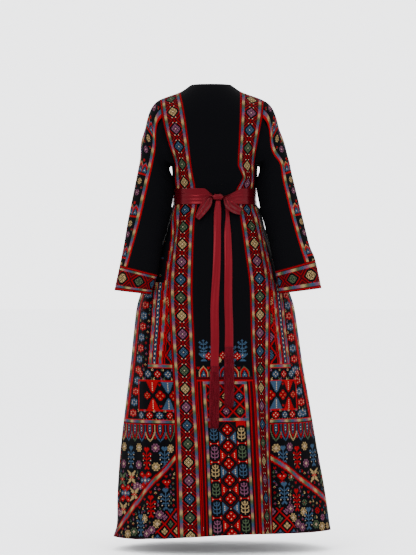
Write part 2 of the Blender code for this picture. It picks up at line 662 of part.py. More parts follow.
def build_knot(cloths):
    """A soft lump of satin: a sphere drawn in at its middle by the turn round it."""
    shape = bmesh.new()
    bmesh.ops.create_uvsphere(shape, u_segments=16, v_segments=10, radius=1.0)
    back = float(skin_y(np.array(KNOT["x"]), np.array(KNOT["z"])))
    for vertex in shape.verts:
        across, out, up = vertex.co
        waist = 1 - KNOT["nipped"] * math.exp(-((across / KNOT["turn"]) ** 2))
        vertex.co = (
            KNOT["x"] + across * KNOT["wide"] / 2,
            back + KNOT["lift"] + KNOT["deep"] / 2 * (1 - KNOT["nipped"] + out * waist),
            KNOT["z"] + up * waist * KNOT["tall"] / 2,
        )
    mesh = bpy.data.meshes.new("sash_knot")
    shape.to_mesh(mesh)
    shape.free()
    mesh.materials.append(cloths["satin"])
    mesh.shade_smooth()
    dress.objects.link(bpy.data.objects.new("sash_knot", mesh))


def build_loop(side, cloths):
    """A bow's loop: the ribbon runs out to the tip and back behind itself, open at both its edges."""
    rows = LOOPS[side]
    ahead = unit(np.stack([np.gradient(rows["x"]), np.gradient(rows["z"])], -1))
    there = np.arange(len(rows["x"]))
    order = np.concatenate([there, there[::-1]])
    layer = np.repeat([1, -1], len(there))
    reach = rows["wide"][order] * np.linspace(-1, 1, LOOP_STEPS + 1)[:, None]
    x = rows["x"][order] + ahead[order, 1] * reach
    z = rows["z"][order] - ahead[order, 0] * reach
    y = skin_y(x, z) + rows["lift"][order] + layer * rows["deep"][order]
    outer = np.stack([x, y, z], -1)
    around = np.roll(outer, -1, axis=1) - np.roll(outer, 1, axis=1)
    normal = unit(np.cross(np.gradient(outer, axis=0), around))
    normal *= np.sign((normal * (outer - outer.mean(1, keepdims=True))).sum())
    shell("sash_loop_" + side, outer, normal, LOOP_WALL, cloths["satin"], tube=True)


def build_tail(side, cloths):
    """A hanging end of the sash, curled a little across, lying on the centre back."""
    rows = TAILS[side]
    across = np.linspace(-0.5, 0.5, 5)
    outer = []
    heights = np.linspace(rows["z"][0], rows["z"][-1], 13)
    for z in heights:
        x = curve(rows, "x")(z) + across * curve(rows, "wide")(z)
        lift = curve(rows, "lift")(z) + SATIN + 0.0016 * np.cos(across * math.pi)
        outer.append(np.stack([x, skin_y(x, np.full_like(x, z)) + lift, np.full_like(x, z)], -1))
    outer = np.array(outer)
    normal = unit(np.cross(np.gradient(outer, axis=1), np.gradient(outer, axis=0)))
    normal *= np.sign(normal[..., 1:2])
    shell("sash_tail_" + side, outer, normal, SATIN, cloths["satin"])


def build_fringe(side, cloths):
    """The sash's fringe: three rows of thin strands whose roots are fused in a narrow strip."""
    top, bottom, x_top, x_bottom = FRINGES[side]
    top -= SEAM_GAP
    wide, tall, deep = (FRINGE_STRIP[name] for name in ("wide", "tall", "deep"))

    def behind(x, z):
        return float(skin_y(np.array(x), np.array(z)))

    back = max(behind(x_top + s * wide / 2, top - tall * t) for s in (-1, 0, 1) for t in (0, 1))
    strip_mesh = bpy.data.meshes.new("sash_fringe_" + side)
    shape = bmesh.new()
    bmesh.ops.create_cube(shape, size=1.0)
    for vertex in shape.verts:
        across, out, up = vertex.co
        vertex.co = (x_top + across * wide, back + LIFT + deep * (out + 0.5), top + (up - 0.5) * tall)
    shape.to_mesh(strip_mesh)
    shape.free()
    strip_mesh.materials.append(cloths["fringe"])
    strip = bpy.data.objects.new("sash_fringe_" + side, strip_mesh)
    dress.objects.link(strip)

    strands = bmesh.new()
    for row in range(STRAND_ROWS):
        count = STRANDS_ACROSS - row % 2
        for i in range(count):
            share = (i + 0.5) / count - 0.5
            rows = []
            length = 1 - 0.03 * ((i * 7 + row * 5) % 4) / 3
            for step in range(STRAND_STEPS + 1):
                t = max(step - 1, 0) / (STRAND_STEPS - 1)
                straight = top - tall - STRAND_CLEAR
                z = straight - t * (straight - bottom) * length if step else top - 0.6 * tall
                sway = 0.0010 * t * math.sin(row * 1.7 + t * 7)
                x = x_top + (x_bottom - x_top) * t + share * wide * (0.93 + 0.1 * t) + sway
                out = deep * (row + 0.5) / STRAND_ROWS
                y = max(back if step < 2 else 0, behind(x, z)) + LIFT + out
                turn = [2 * math.pi * (k / 3) + math.pi / 2 for k in range(3)]
                ring = [
                    strands.verts.new((x + STRAND_RADIUS * math.cos(a), y + STRAND_RADIUS * math.sin(a), z))
                    for a in turn
                ]
                rows.append(ring)
            for upper, lower in zip(rows, rows[1:]):
                for k in range(3):
                    strands.faces.new((upper[k], upper[(k + 1) % 3], lower[(k + 1) % 3], lower[k]))
            strands.faces.new(rows[0])
            strands.faces.new(rows[-1])
    bmesh.ops.recalc_face_normals(strands, faces=strands.faces)
    strand_mesh = bpy.data.meshes.new("strands_" + side)
    strands.to_mesh(strand_mesh)
    strands.free()
    cutter = bpy.data.objects.new("strands_" + side, strand_mesh)
    helpers.objects.link(cutter)
    cutter.hide_render = True
    cutter.display_type = "WIRE"
    joined = strip.modifiers.new("strands", "BOOLEAN")
    joined.operation = "UNION"
    joined.solver = "EXACT"
    joined.object = cutter


for old in list(bpy.data.objects):
    bpy.data.objects.remove(old, do_unlink=True)

dress = bpy.data.collections.new("thobe_dress")
helpers = bpy.data.collections.new("joined_strands")
bpy.context.scene.collection.children.link(dress)
bpy.context.scene.collection.children.link(helpers)

cloths = {
    "crepe": material("black_crepe", BLACK_CREPE, 0.85),
    "embroidery": material("cross_stitch", EMBROIDERY, 0.75),
    "satin": material("burgundy_satin", BURGUNDY, 0.35, sheen=0.3),
    "fringe": material("burgundy_fringe", FRINGE_RED, 0.7),
}

sleeves = build_body(cloths)
build_sleeves(sleeves, cloths)
build_belt(cloths)
build_knot(cloths)
for side in ("left", "right"):
    build_loop(side, cloths)
    build_tail(side, cloths)
    build_fringe(side, cloths)
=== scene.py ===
"""The looks of the embroidered thobe dress: fine cloth, charted cross stitch, satin sash and fringe.

The shape is the solids' own, worked out from the same tables, with smaller creases on it. Each panel is
a grid of stitch blocks, and a chart gives each block its thread.
"""

import math

import bpy
import numpy as np
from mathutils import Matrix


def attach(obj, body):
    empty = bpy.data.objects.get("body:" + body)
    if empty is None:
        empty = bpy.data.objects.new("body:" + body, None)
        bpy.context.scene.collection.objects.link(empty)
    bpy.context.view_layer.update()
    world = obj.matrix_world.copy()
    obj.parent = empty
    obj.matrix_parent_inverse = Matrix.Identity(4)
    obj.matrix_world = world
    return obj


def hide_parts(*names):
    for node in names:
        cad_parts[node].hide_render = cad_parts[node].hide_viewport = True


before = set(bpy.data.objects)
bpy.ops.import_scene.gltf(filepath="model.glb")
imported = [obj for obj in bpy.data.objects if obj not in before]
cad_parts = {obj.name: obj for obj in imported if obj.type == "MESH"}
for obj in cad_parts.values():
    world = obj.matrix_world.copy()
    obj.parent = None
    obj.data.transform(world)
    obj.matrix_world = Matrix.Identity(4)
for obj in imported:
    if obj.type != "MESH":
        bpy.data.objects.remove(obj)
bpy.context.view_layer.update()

# Cloth, in metres like every other length
SATIN = 0.0015  # the sash, which is sewn double
LIFT = 0.0005  # what lies on a panel is this far out from it

# The body's heights
ARCH_BASE = -0.100  # the cloth starts to turn over the shoulders
ARM_LEVEL = -0.217  # bottom of the armholes
BELT_TOP = -0.2935
BELT_BOTTOM = -0.3455
FLARE_BASE = -0.900  # the hem's slant fades out up to here
HEM = -1.4205
HEM_RAISE_BACK = 0.012  # the hem is this much higher at the centre back
HEM_TILT = 0.012  # and this much higher on the wearer's right, and lower on the left

# The neck
NECK_HALF = 0.066
NECK_FRONT_DROP = 0.084

GATHERS = 16  # soft waves round the waist, drawn in by the sash
SLEEVE_STRIP_ARC = math.radians(72)  # of the sleeve's tube that the embroidered strip takes
SLEEVE_HEAD_OUT = 0.090  # how strongly the sleeve's head swells outwards before it falls
SLEEVE_HEAD_UP = 0.060
BELT_PLEAT = 0.0014  # half the depth of the band's pleats where it draws in to the knot
BELT_UNDER = 0.475  # its ends lie this far from the knot's middle, as a share of the knot's width


def table(columns, *rows):
    """One array for each named column."""
    return dict(zip(columns.split(), np.array(rows, float).T))


# The body's outline at each height: middle, half width, squareness, and depth behind and in front.
# The first row lies below the hem, so that the cloth runs evenly to its edge.
BODY = table(
    "z middle half square back front",
    (-1.4600, -0.0345, 0.3660, 2.10, 0.243, 0.235),
    (-1.4205, -0.0370, 0.3560, 2.10, 0.239, 0.231),
    (-1.386, -0.0395, 0.3470, 2.10, 0.235, 0.227),
    (-1.291, -0.0340, 0.3380, 2.10, 0.226, 0.218),
    (-1.138, -0.0255, 0.3175, 2.12, 0.212, 0.203),
    (-0.987, -0.0215, 0.2955, 2.15, 0.198, 0.188),
    (-0.872, -0.0185, 0.2785, 2.18, 0.188, 0.177),
    (-0.757, -0.0160, 0.2650, 2.20, 0.178, 0.166),
    (-0.681, -0.0145, 0.2550, 2.20, 0.171, 0.158),
    (-0.625, -0.0140, 0.2380, 2.20, 0.165, 0.150),
    (-0.559, -0.0145, 0.2120, 2.22, 0.156, 0.143),
    (-0.494, -0.0150, 0.1870, 2.25, 0.143, 0.134),
    (-0.438, -0.0150, 0.1650, 2.30, 0.128, 0.122),
    (-0.390, -0.0150, 0.1520, 2.35, 0.112, 0.113),
    (-0.360, -0.0145, 0.1450, 2.40, 0.101, 0.107),
    (-0.345, -0.0125, 0.1370, 2.50, 0.094, 0.103),
    (-0.319, -0.0120, 0.1345, 2.50, 0.090, 0.101),
    (-0.293, -0.0125, 0.1355, 2.50, 0.094, 0.104),
    (-0.278, -0.0125, 0.1385, 2.50, 0.100, 0.109),
    (-0.250, -0.0125, 0.1390, 2.50, 0.106, 0.115),
    (-0.214, -0.0120, 0.1420, 2.50, 0.114, 0.120),
    (-0.160, -0.0090, 0.1650, 2.50, 0.118, 0.114),
    (-0.100, -0.0060, 0.1840, 2.50, 0.113, 0.101),
    (-0.050, -0.0030, 0.1960, 2.50, 0.112, 0.100),
    (0.000, -0.0020, 0.2040, 2.50, 0.112, 0.100),
    (0.080, -0.0020, 0.2060, 2.50, 0.112, 0.100),
)

# Height of the shoulder line at each distance from the middle. Inside the neck it is the line's own course.
SHOULDER = table(
    "x z",
    (0.000, 0.073),
    (0.030, 0.068),
    (0.063, 0.051),
    (0.099, 0.027),
    (0.163, 0.003),
    (0.180, -0.006),
    (0.200, -0.024),
)

# Where the seams run across the back, as X at each height. The front's seams mirror them.
SEAMS = table(
    "z left_inner left_outer right_inner right_outer",
    (-1.4205, 0.0255, 0.1065, -0.1620, -0.2075),
    (-1.291, 0.0295, 0.1105, -0.1560, -0.2010),
    (-1.140, 0.0345, 0.1145, -0.1485, -0.1940),
    (-1.040, 0.0400, 0.1180, -0.1440, -0.1910),
    (-0.980, 0.0440, 0.1205, -0.1410, -0.1895),
    (-0.868, 0.0490, 0.1270, -0.1320, -0.1890),
    (-0.787, 0.0520, 0.1320, -0.1280, -0.1895),
    (-0.625, 0.0585, 0.1385, -0.1240, -0.1905),
    (-0.495, 0.0560, 0.1290, -0.1080, -0.1740),
    (-0.390, 0.0510, 0.1200, -0.0930, -0.1530),
    (-0.346, 0.0445, 0.1160, -0.0860, -0.1405),
    (-0.306, 0.0480, 0.1150, -0.0800, -0.1385),
    (-0.280, 0.0515, 0.1150, -0.0900, -0.1395),
    (-0.257, 0.0560, 0.1160, -0.1010, -0.1400),
    (-0.240, 0.0590, 0.1165, -0.0950, -0.1410),
    (-0.217, 0.0630, 0.1175, -0.0855, -0.1417),
    (-0.188, 0.0665, 0.1249, -0.0865, -0.1449),
    (-0.152, 0.0705, 0.1376, -0.0885, -0.1514),
    (-0.100, 0.0772, 0.1520, -0.0908, -0.1610),
    (-0.050, 0.0850, 0.1620, -0.0925, -0.1700),
    (0.020, 0.0986, 0.1700, -0.0940, -0.1760),
)

# The largest folds: each runs down from z_top to z_low at an angle round the body, counted from the
# centre back towards the wearer's left. Rise is out of the cloth, and reach is the fold's half width.
FOLDS = table(
    "z_top z_low angle_top angle_low rise_top rise_low reach_top reach_low",
    (-0.780, HEM, 15.0, 15.5, 0.000, -0.010, 0.016, 0.018),
    (-0.780, HEM, -26.0, -27.5, 0.000, -0.014, 0.016, 0.018),
    (-0.700, HEM, -43.0, -38.5, 0.000, -0.026, 0.018, 0.021),
    (-0.360, HEM, -56.0, -47.0, 0.003, 0.010, 0.022, 0.034),
    (-0.355, -0.930, 62.0, 43.0, -0.004, -0.010, 0.012, 0.016),
    (-0.360, HEM, 75.0, 50.0, 0.003, 0.008, 0.020, 0.036),
    (-0.420, HEM, 96.0, 78.0, 0.002, 0.009, 0.025, 0.045),
    (-0.420, HEM, -92.0, -76.0, 0.002, 0.010, 0.025, 0.045),
    (-0.420, HEM, -118.0, -104.0, -0.002, -0.012, 0.024, 0.040),
    (-0.420, HEM, 120.0, 106.0, -0.002, -0.013, 0.024, 0.042),
    (-0.400, HEM, 140.0, 134.0, 0.003, 0.012, 0.022, 0.040),
    (-0.400, HEM, -141.0, -132.0, 0.003, 0.013, 0.022, 0.042),
    (-0.500, HEM, 160.0, 157.0, -0.002, -0.011, 0.020, 0.034),
    (-0.480, HEM, -166.0, -160.0, -0.002, -0.010, 0.020, 0.036),
    (-0.420, HEM, 176.0, 179.0, 0.002, 0.010, 0.020, 0.034),
    (-0.225, -0.290, -24.0, -46.0, 0.003, 0.005, 0.010, 0.012),
)

# How far the gathers stand out at each height.
GATHER_RISE = table(
    "z rise",
    (-0.620, 0.0),
    (-0.480, 0.0014),
    (-0.400, 0.0026),
    (-0.362, 0.0030),
    (-0.346, 0.0),
    (-0.293, 0.0),
    (-0.276, 0.0018),
    (-0.235, 0.0006),
    (-0.200, 0.0),
)

# Rows of the armhole: metres below the arch, then shares of the way over the shoulder.
YOKE_ROWS = (ARM_LEVEL - ARCH_BASE, -0.078, -0.039, 0.0, 0.25, 0.5, 0.75, 1.0)

# The pieces round the body, from the centre back to the wearer's left and on round: each piece's first
# and last seam, each with its half turns round the body.
PANELS = {
    "back_center": ("right_inner", 0, "left_inner", 0),
    "back_band_left": ("left_inner", 0, "left_outer", 0),
    "side_left": ("left_outer", 0, "left_outer", 1),
    "front_band_left": ("left_outer", 1, "left_inner", 1),
    "front_center": ("left_inner", 1, "right_inner", 1),
    "front_band_right": ("right_inner", 1, "right_outer", 1),
    "side_right": ("right_outer", 1, "right_outer", 2),
    "back_band_right": ("right_outer", 2, "right_inner", 2),
}

# Each sleeve's rings: its outer and inner edge as seen from behind, its middle from back to front,
# its half depth, and the angle from its outer edge at which the strip's rear seam lies.
SLEEVES = {
    "left": table(
        "outer_x outer_z inner_x inner_z y deep strip",
        (0.2240, -0.1180, 0.1360, -0.2260, 0.006, 0.060, 88.0),
        (0.2330, -0.1950, 0.1290, -0.2560, 0.018, 0.058, 79.0),
        (0.2450, -0.2600, 0.1285, -0.2960, 0.030, 0.056, 74.0),
        (0.2710, -0.3950, 0.1457, -0.4145, 0.056, 0.054, 68.5),
        (0.2836, -0.4770, 0.1620, -0.5000, 0.090, 0.052, 61.0),
        (0.2960, -0.5430, 0.1744, -0.5740, 0.116, 0.050, 55.0),
        (0.3132, -0.6250, 0.1941, -0.6390, 0.131, 0.052, 54.0),
    ),
    "right": table(
        "outer_x outer_z inner_x inner_z y deep strip",
        (-0.2320, -0.1160, -0.1600, -0.2260, 0.006, 0.060, 88.0),
        (-0.2550, -0.1950, -0.1560, -0.2560, 0.018, 0.058, 67.0),
        (-0.2680, -0.2560, -0.1570, -0.2960, 0.030, 0.056, 67.5),
        (-0.2987, -0.3850, -0.1793, -0.4145, 0.056, 0.054, 66.5),
        (-0.3204, -0.4770, -0.1950, -0.5000, 0.086, 0.053, 62.0),
        (-0.3385, -0.5264, -0.2083, -0.5626, 0.108, 0.052, 63.0),
        (-0.3583, -0.6185, -0.2194, -0.6363, 0.122, 0.054, 62.0),
    ),
}
CUFF_RING = 6  # the sleeve's cloth ends and the cuff band starts here, counted from the armhole
STRIP_BEHIND = 3  # the strip's rear seam meets the armhole this many points behind the shoulder
STRIP_AHEAD = 1  # and its front seam this many points in front of it

# The sash
KNOT = dict(x=-0.0223, z=-0.3225, wide=0.038, tall=0.024, deep=0.018, lift=0.0011, nipped=0.16, turn=0.35)
# On each side of the knot, the band draws in over this length to these edges.
BELT_AT_KNOT = {
    "left": dict(over=0.026, top=-0.3115, bottom=-0.3350),
    "right": dict(over=0.060, top=-0.3190, bottom=-0.3430),
}
TAILS = {
    "left": table(
        "z x wide lift",
        (-0.873, -0.0117, 0.0265, 0.0010),
        (-0.750, -0.0114, 0.0270, 0.0010),
        (-0.550, -0.0169, 0.0250, 0.0012),
        (-0.430, -0.0214, 0.0235, 0.0022),
        (-0.372, -0.0218, 0.0245, 0.0055),
        (-0.3336, -0.0223, 0.0150, 0.0078),
    ),
    "right": table(
        "z x wide lift",
        (-0.811, -0.0577, 0.0280, 0.0010),
        (-0.750, -0.0577, 0.0265, 0.0010),
        (-0.550, -0.0551, 0.0255, 0.0012),
        (-0.450, -0.0549, 0.0230, 0.0022),
        (-0.385, -0.0545, 0.0130, 0.0026),
        (-0.3520, -0.0500, 0.0100, 0.0022),
    ),
}
# Each fringe: its top and bottom height, and where each lies across.
FRINGES = {"left": (-0.873, -1.070, -0.0117, -0.0091), "right": (-0.811, -1.003, -0.0577, -0.0575)}
FRINGE_WIDE = 0.030
FRINGE_DEEP = 0.0062

# Each loop of the bow, from the knot to its tip: where its middle lies, half its width, half the
# space between its two layers, and how far out from the dress it stands.
LOOPS = {
    "left": table(
        "x z wide deep lift",
        (-0.0004, -0.3232, 0.0070, 0.0024, 0.0100),
        (0.0085, -0.3320, 0.0145, 0.0045, 0.0112),
        (0.0160, -0.3470, 0.0162, 0.0060, 0.0118),
        (0.0290, -0.3680, 0.0140, 0.0060, 0.0112),
        (0.0400, -0.3850, 0.0105, 0.0045, 0.0098),
        (0.0459, -0.3930, 0.0085, 0.0024, 0.0088),
    ),
    "right": table(
        "x z wide deep lift",
        (-0.0446, -0.3236, 0.0065, 0.0024, 0.0100),
        (-0.0530, -0.3345, 0.0130, 0.0042, 0.0120),
        (-0.0620, -0.3490, 0.0158, 0.0056, 0.0130),
        (-0.0770, -0.3600, 0.0155, 0.0056, 0.0125),
        (-0.0910, -0.3670, 0.0130, 0.0042, 0.0108),
        (-0.0990, -0.3705, 0.0112, 0.0024, 0.0096),
    ),
}


def curve(rows, column, at="z"):
    """A smooth curve through one column of a table, with no bump between its rows."""
    x, y = rows[at], rows[column]
    rise = np.diff(y) / np.diff(x)
    same = rise[1:] * rise[:-1] > 0
    mean = 2 * rise[1:] * rise[:-1] / np.where(same, rise[1:] + rise[:-1], 1)
    slope = np.concatenate([rise[:1], np.where(same, mean, 0), rise[-1:]])

    def value(where):
        where = np.clip(where, x[0], x[-1])
        i = np.clip(np.searchsorted(x, where) - 1, 0, len(x) - 2)
        step = x[i + 1] - x[i]
        t = (where - x[i]) / step
        start = (1 + 2 * t) * (1 - t) ** 2 * y[i] + t * (1 - t) ** 2 * step * slope[i]
        return start + t * t * (3 - 2 * t) * y[i + 1] + t * t * (t - 1) * step * slope[i + 1]

    return value


body = {name: curve(BODY, name) for name in BODY if name != "z"}
seam_x = {name: curve(SEAMS, name) for name in SEAMS if name != "z"}
shoulder_z = curve(SHOULDER, "z", at="x")
NECK_BACK = float(shoulder_z(NECK_HALF))  # the neck's height at its corners and all across the back
gather_rise = curve(GATHER_RISE, "rise")


def outline(angle, z):
    """The body's plain outline at a height: X, Y and the distance from its middle."""
    square = body["square"](z)
    depth = np.where(np.cos(angle) > 0, body["back"](z), body["front"](z))
    across = (np.abs(np.sin(angle)) / body["half"](z)) ** square
    along = (np.abs(np.cos(angle)) / depth) ** square
    reach = (across + along) ** (-1 / square)
    return body["middle"](z) + reach * np.sin(angle), reach * np.cos(angle), reach


def angle_at(x, z, turns):
    """The angle of the outline's point at X: behind for 0 or 2 turns of half a circle, in front for 1."""
    square = body["square"](z)
    depth = body["front"](z) if turns == 1 else body["back"](z)
    off = x - body["middle"](z)
    share = np.clip(np.abs(off) / body["half"](z), 0, 0.999)
    y = depth * (1 - share**square) ** (1 / square)
    angle = np.arctan2(off, y)
    return math.pi - angle if turns == 1 else angle + turns * math.pi


def seam_angle(seam, turns, level):
    """The seam's angle round the body. A level is metres from the arch's base, or a share of the arch."""
    top = shoulder_z(np.abs(SEAMS[seam][-1])) - ARCH_BASE
    z = ARCH_BASE + np.where(level > 0, top * np.sin(level * math.pi / 2), level)
    return angle_at(seam_x[seam](z), z, turns)


def hem_slant(angle):
    """The hem is a little higher at the back and on the wearer's right."""
    return HEM_RAISE_BACK * np.clip(np.cos(angle), 0, 1) ** 2 - HEM_TILT * np.sin(angle)


def wrapped(angle):
    return (angle + math.pi) % (2 * math.pi) - math.pi


FOLD_END = 0.02  # a fold that ends above the hem or the belt fades out over this height


def folds_at(rows, angle, z, reach, ease_in, ends_above):
    """How far a table's folds move the cloth out. Each grows from its top over a height of ease_in."""
    total = 0
    for i in range(len(rows["z_top"])):
        fold = {name: column[i] for name, column in rows.items()}
        share = np.clip((fold["z_top"] - z) / (fold["z_top"] - fold["z_low"]), 0, 1)
        ease = np.clip((fold["z_top"] - z) / ease_in, 0, 1)
        middle = np.radians(fold["angle_top"] + share * (fold["angle_low"] - fold["angle_top"]))
        rise = fold["rise_top"] + share * (fold["rise_low"] - fold["rise_top"])
        width = fold["reach_top"] + share * (fold["reach_low"] - fold["reach_top"])
        if fold["z_low"] > ends_above:
            ease = ease * np.clip((z - fold["z_low"]) / FOLD_END, 0, 1)
        off = reach * wrapped(angle - middle) / width
        total = total + ease * ease * (3 - 2 * ease) * rise * np.exp(-off * off)
    return total


def fold_rise(angle, z, reach):
    """How far the gathers, which are flatter at the centre back, and the largest folds move the cloth."""
    gathers = gather_rise(z) * np.cos(GATHERS * angle) * (1 - 0.8 * np.cos(angle / 2) ** 16)
    return gathers + folds_at(FOLDS, angle, z, reach, 0.06, BELT_TOP - 0.01)


def over_shoulder(angle, level):
    """How far the cloth has turned over the shoulder at a level, and how far it is below the arch."""
    x_top = np.abs(outline(angle, np.zeros_like(angle))[0])
    crest = shoulder_z(x_top) - ARCH_BASE
    inside = np.clip(1 - (x_top / NECK_HALF) ** 2, 0, 1)
    neck = np.where(np.cos(angle) > 0, NECK_BACK, NECK_BACK - NECK_FRONT_DROP * inside)
    full_turn = np.arcsin(np.clip((neck - ARCH_BASE) / crest, 0, 1))
    full_turn = np.where(x_top < NECK_HALF, full_turn, math.pi / 2)
    return np.clip(level, 0, 1) * full_turn, np.minimum(level, 0)


def plain_body(angle, turn, below):
    """The body's cloth without folds, its height before the hem's slant, and the outline's reach."""
    x_top = np.abs(outline(angle, np.zeros_like(angle))[0])
    z = ARCH_BASE + below + (shoulder_z(x_top) - ARCH_BASE) * np.sin(turn)
    low = np.clip((FLARE_BASE - z) / (FLARE_BASE - HEM), 0, 1)
    x, y, reach = outline(angle, z)
    points = np.stack([x, y * np.cos(turn), z + hem_slant(angle) * low], -1)
    return points, z, reach


def plain_normals(angle, turn, below, step=0.0008):
    """Outward directions of the body's plain cloth."""

    def surface(a, t, b):
        return plain_body(a, t, b)[0]

    along = surface(angle + step, turn, below) - surface(angle - step, turn, below)
    arch = np.where(turn > 0, step, 0)
    drop = step - arch
    high = surface(angle, turn + arch, np.minimum(below + drop, 0))
    normal = np.cross(high - surface(angle, turn - arch, below - drop), along)
    return normal / np.linalg.norm(normal, axis=-1, keepdims=True)


def skin(angle, level, rise_of=fold_rise):
    """The outer face of the body's cloth, with the solids' folds or with others."""
    angle, level = np.broadcast_arrays(angle, level)
    turn, below = over_shoulder(angle, level)
    points, z, reach = plain_body(angle, turn, below)
    return points + rise_of(angle, z, reach)[..., None] * plain_normals(angle, turn, below)


def corner_shares(name):
    """How far across a centre panel the two corners of the neck lie, from 0 to 1."""
    first, turns, last, last_turns = PANELS[name]
    start, end = (float(seam_angle(*seam, np.array(1.0))) for seam in ((first, turns), (last, last_turns)))
    corners = NECK_HALF * np.array([1, -1] if turns else [-1, 1])
    return (angle_at(corners, np.zeros(2), turns) - start) / (end - start)


CELL = 0.00295  # one block of stitches in a chart
THIN = 0.0012  # thickness of the fine cloth
INNER_STEP = (6, 2)  # the cloth's inner face has a row and a column for this many of the outer face's

# Smaller folds than the solids', in the same columns
CREASES = table(
    "z_top z_low angle_top angle_low rise_top rise_low reach_top reach_low",
    (-0.352, -0.660, 8.0, 6.0, 0.0022, 0.000, 0.006, 0.016),
    (-0.352, -0.560, 17.0, 16.0, 0.0030, 0.000, 0.006, 0.014),
    (-0.352, -0.700, 27.0, 22.0, -0.0022, 0.000, 0.006, 0.016),
    (-0.352, -0.600, 36.0, 29.0, 0.0026, 0.000, 0.005, 0.014),
    (-0.352, -0.640, -14.0, -12.0, 0.0026, 0.000, 0.006, 0.014),
    (-0.352, -0.560, -22.0, -19.0, -0.0020, 0.000, 0.006, 0.012),
    (-0.352, -0.720, -31.0, -27.0, 0.0026, 0.000, 0.006, 0.016),
    (-0.352, -0.580, -40.0, -35.0, 0.0024, 0.000, 0.005, 0.013),
    (-0.352, -0.690, 50.0, 40.0, 0.0026, 0.001, 0.006, 0.016),
    (-0.352, -0.620, -62.0, -56.0, -0.0024, 0.000, 0.006, 0.016),
    (-0.352, -0.610, 66.0, 60.0, 0.0024, 0.000, 0.006, 0.015),
    (-0.352, -0.650, 84.0, 76.0, -0.0020, 0.000, 0.007, 0.017),
    (-0.352, -0.640, -84.0, -80.0, 0.0026, 0.000, 0.007, 0.016),
    (-0.352, -0.600, 108.0, 104.0, 0.0024, 0.000, 0.007, 0.016),
    (-0.352, -0.650, -106.0, -102.0, 0.0024, 0.000, 0.007, 0.016),
    (-0.352, -0.630, 130.0, 128.0, 0.0022, 0.000, 0.007, 0.016),
    (-0.352, -0.610, -130.0, -126.0, 0.0024, 0.000, 0.007, 0.016),
    (-0.352, -0.640, 152.0, 150.0, 0.0022, 0.000, 0.007, 0.017),
    (-0.352, -0.600, -152.0, -150.0, 0.0022, 0.000, 0.007, 0.016),
    (-0.900, -1.4205, 3.0, 4.0, 0.000, 0.0030, 0.014, 0.022),
    (-0.980, -1.4205, -8.0, -9.0, 0.000, 0.0035, 0.014, 0.022),
    (-0.860, -1.4205, 36.0, 33.0, 0.000, 0.0045, 0.014, 0.022),
    (-1.050, -1.4205, 62.0, 60.0, 0.000, -0.0050, 0.015, 0.024),
    (-0.900, -1.4205, -62.0, -60.0, 0.000, -0.0045, 0.015, 0.024),
    (-1.000, -1.4205, 94.0, 93.0, 0.000, -0.0045, 0.015, 0.024),
    (-1.000, -1.4205, -92.0, -91.0, 0.000, -0.0045, 0.015, 0.024),
    (-0.206, -0.284, 12.0, 18.0, 0.0000, 0.0020, 0.008, 0.007),
    (-0.190, -0.286, 30.0, 40.0, 0.0000, 0.0024, 0.010, 0.007),
    (-0.215, -0.286, -8.0, -12.0, 0.0000, 0.0018, 0.008, 0.007),
    (-0.180, -0.286, -36.0, -52.0, 0.0000, 0.0024, 0.010, 0.007),
    (-0.225, -0.286, 62.0, 70.0, 0.0000, 0.0020, 0.009, 0.007),
    (-0.225, -0.286, -72.0, -80.0, 0.0000, 0.0020, 0.009, 0.007),
    (-0.200, -0.286, 150.0, 140.0, 0.0000, 0.0020, 0.010, 0.008),
    (-0.200, -0.286, -150.0, -138.0, 0.0000, 0.0020, 0.010, 0.008),
)

# Creases of the sleeves: where each lies along (in rings) and round (in points of the armhole), half its
# length and half its width in metres, its rise, and how far it turns from running along the sleeve.
SLEEVE_CREASES = table(
    "along round long wide rise turn",
    (2.5, 14.0, 0.060, 0.0320, 0.0065, 0.0),
    (3.5, 14.0, 0.060, 0.0320, 0.0065, 0.0),
    (0.9, 6.5, 0.060, 0.0060, 0.0030, 0.35),
    (1.3, 9.0, 0.055, 0.0060, 0.0030, 0.55),
    (1.8, 11.5, 0.050, 0.0055, 0.0028, 0.75),
    (1.2, 17.0, 0.055, 0.0065, 0.0026, -0.5),
    (2.3, 8.0, 0.050, 0.0060, -0.0026, 0.9),
    (3.1, 7.0, 0.034, 0.0055, 0.0030, 1.25),
    (3.5, 10.0, 0.036, 0.0055, 0.0032, 1.35),
    (3.8, 6.0, 0.030, 0.0050, -0.0026, 1.2),
    (4.1, 9.0, 0.036, 0.0055, 0.0030, 1.4),
    (3.6, 14.5, 0.034, 0.0060, 0.0036, 1.5),
    (4.2, 15.5, 0.036, 0.0060, 0.0032, 1.65),
    (4.6, 12.0, 0.040, 0.0060, -0.0028, 1.5),
    (5.0, 8.0, 0.042, 0.0060, 0.0026, 1.2),
    (5.2, 16.0, 0.044, 0.0060, 0.0028, 1.75),
    (2.6, 20.5, 0.050, 0.0060, 0.0028, -0.8),
    (3.9, 22.0, 0.036, 0.0055, 0.0028, -1.3),
    (4.8, 23.0, 0.040, 0.0055, 0.0026, -1.1),
    (5.6, 20.0, 0.044, 0.0060, -0.0024, -1.4),
    (5.5, 5.0, 0.040, 0.0055, 0.0020, 0.5),
)

# Threads as sRGB. A dot in a chart leaves the black cloth bare.
THREADS = {
    "R": (100, 0, 5),
    "D": (42, 0, 3),
    "C": (106, 88, 58),
    "G": (42, 52, 36),
    "B": (29, 46, 62),
    "M": (74, 41, 57),
    "W": (136, 115, 94),
}
INK = {letter: i + 1 for i, letter in enumerate(THREADS)}
RAINBOW = ("C", "G", "B", "M")  # the order in which the space-dyed thread changes
RAINBOW_LONG = 20  # blocks in which it comes round
RAINBOW_INK = 10
CREPE = (2, 2, 3)  # the black cloth, sRGB


def linear(colour):
    value = np.array(colour, float) / 255
    return np.where(value <= 0.04045, value / 12.92, ((value + 0.055) / 1.055) ** 2.4)


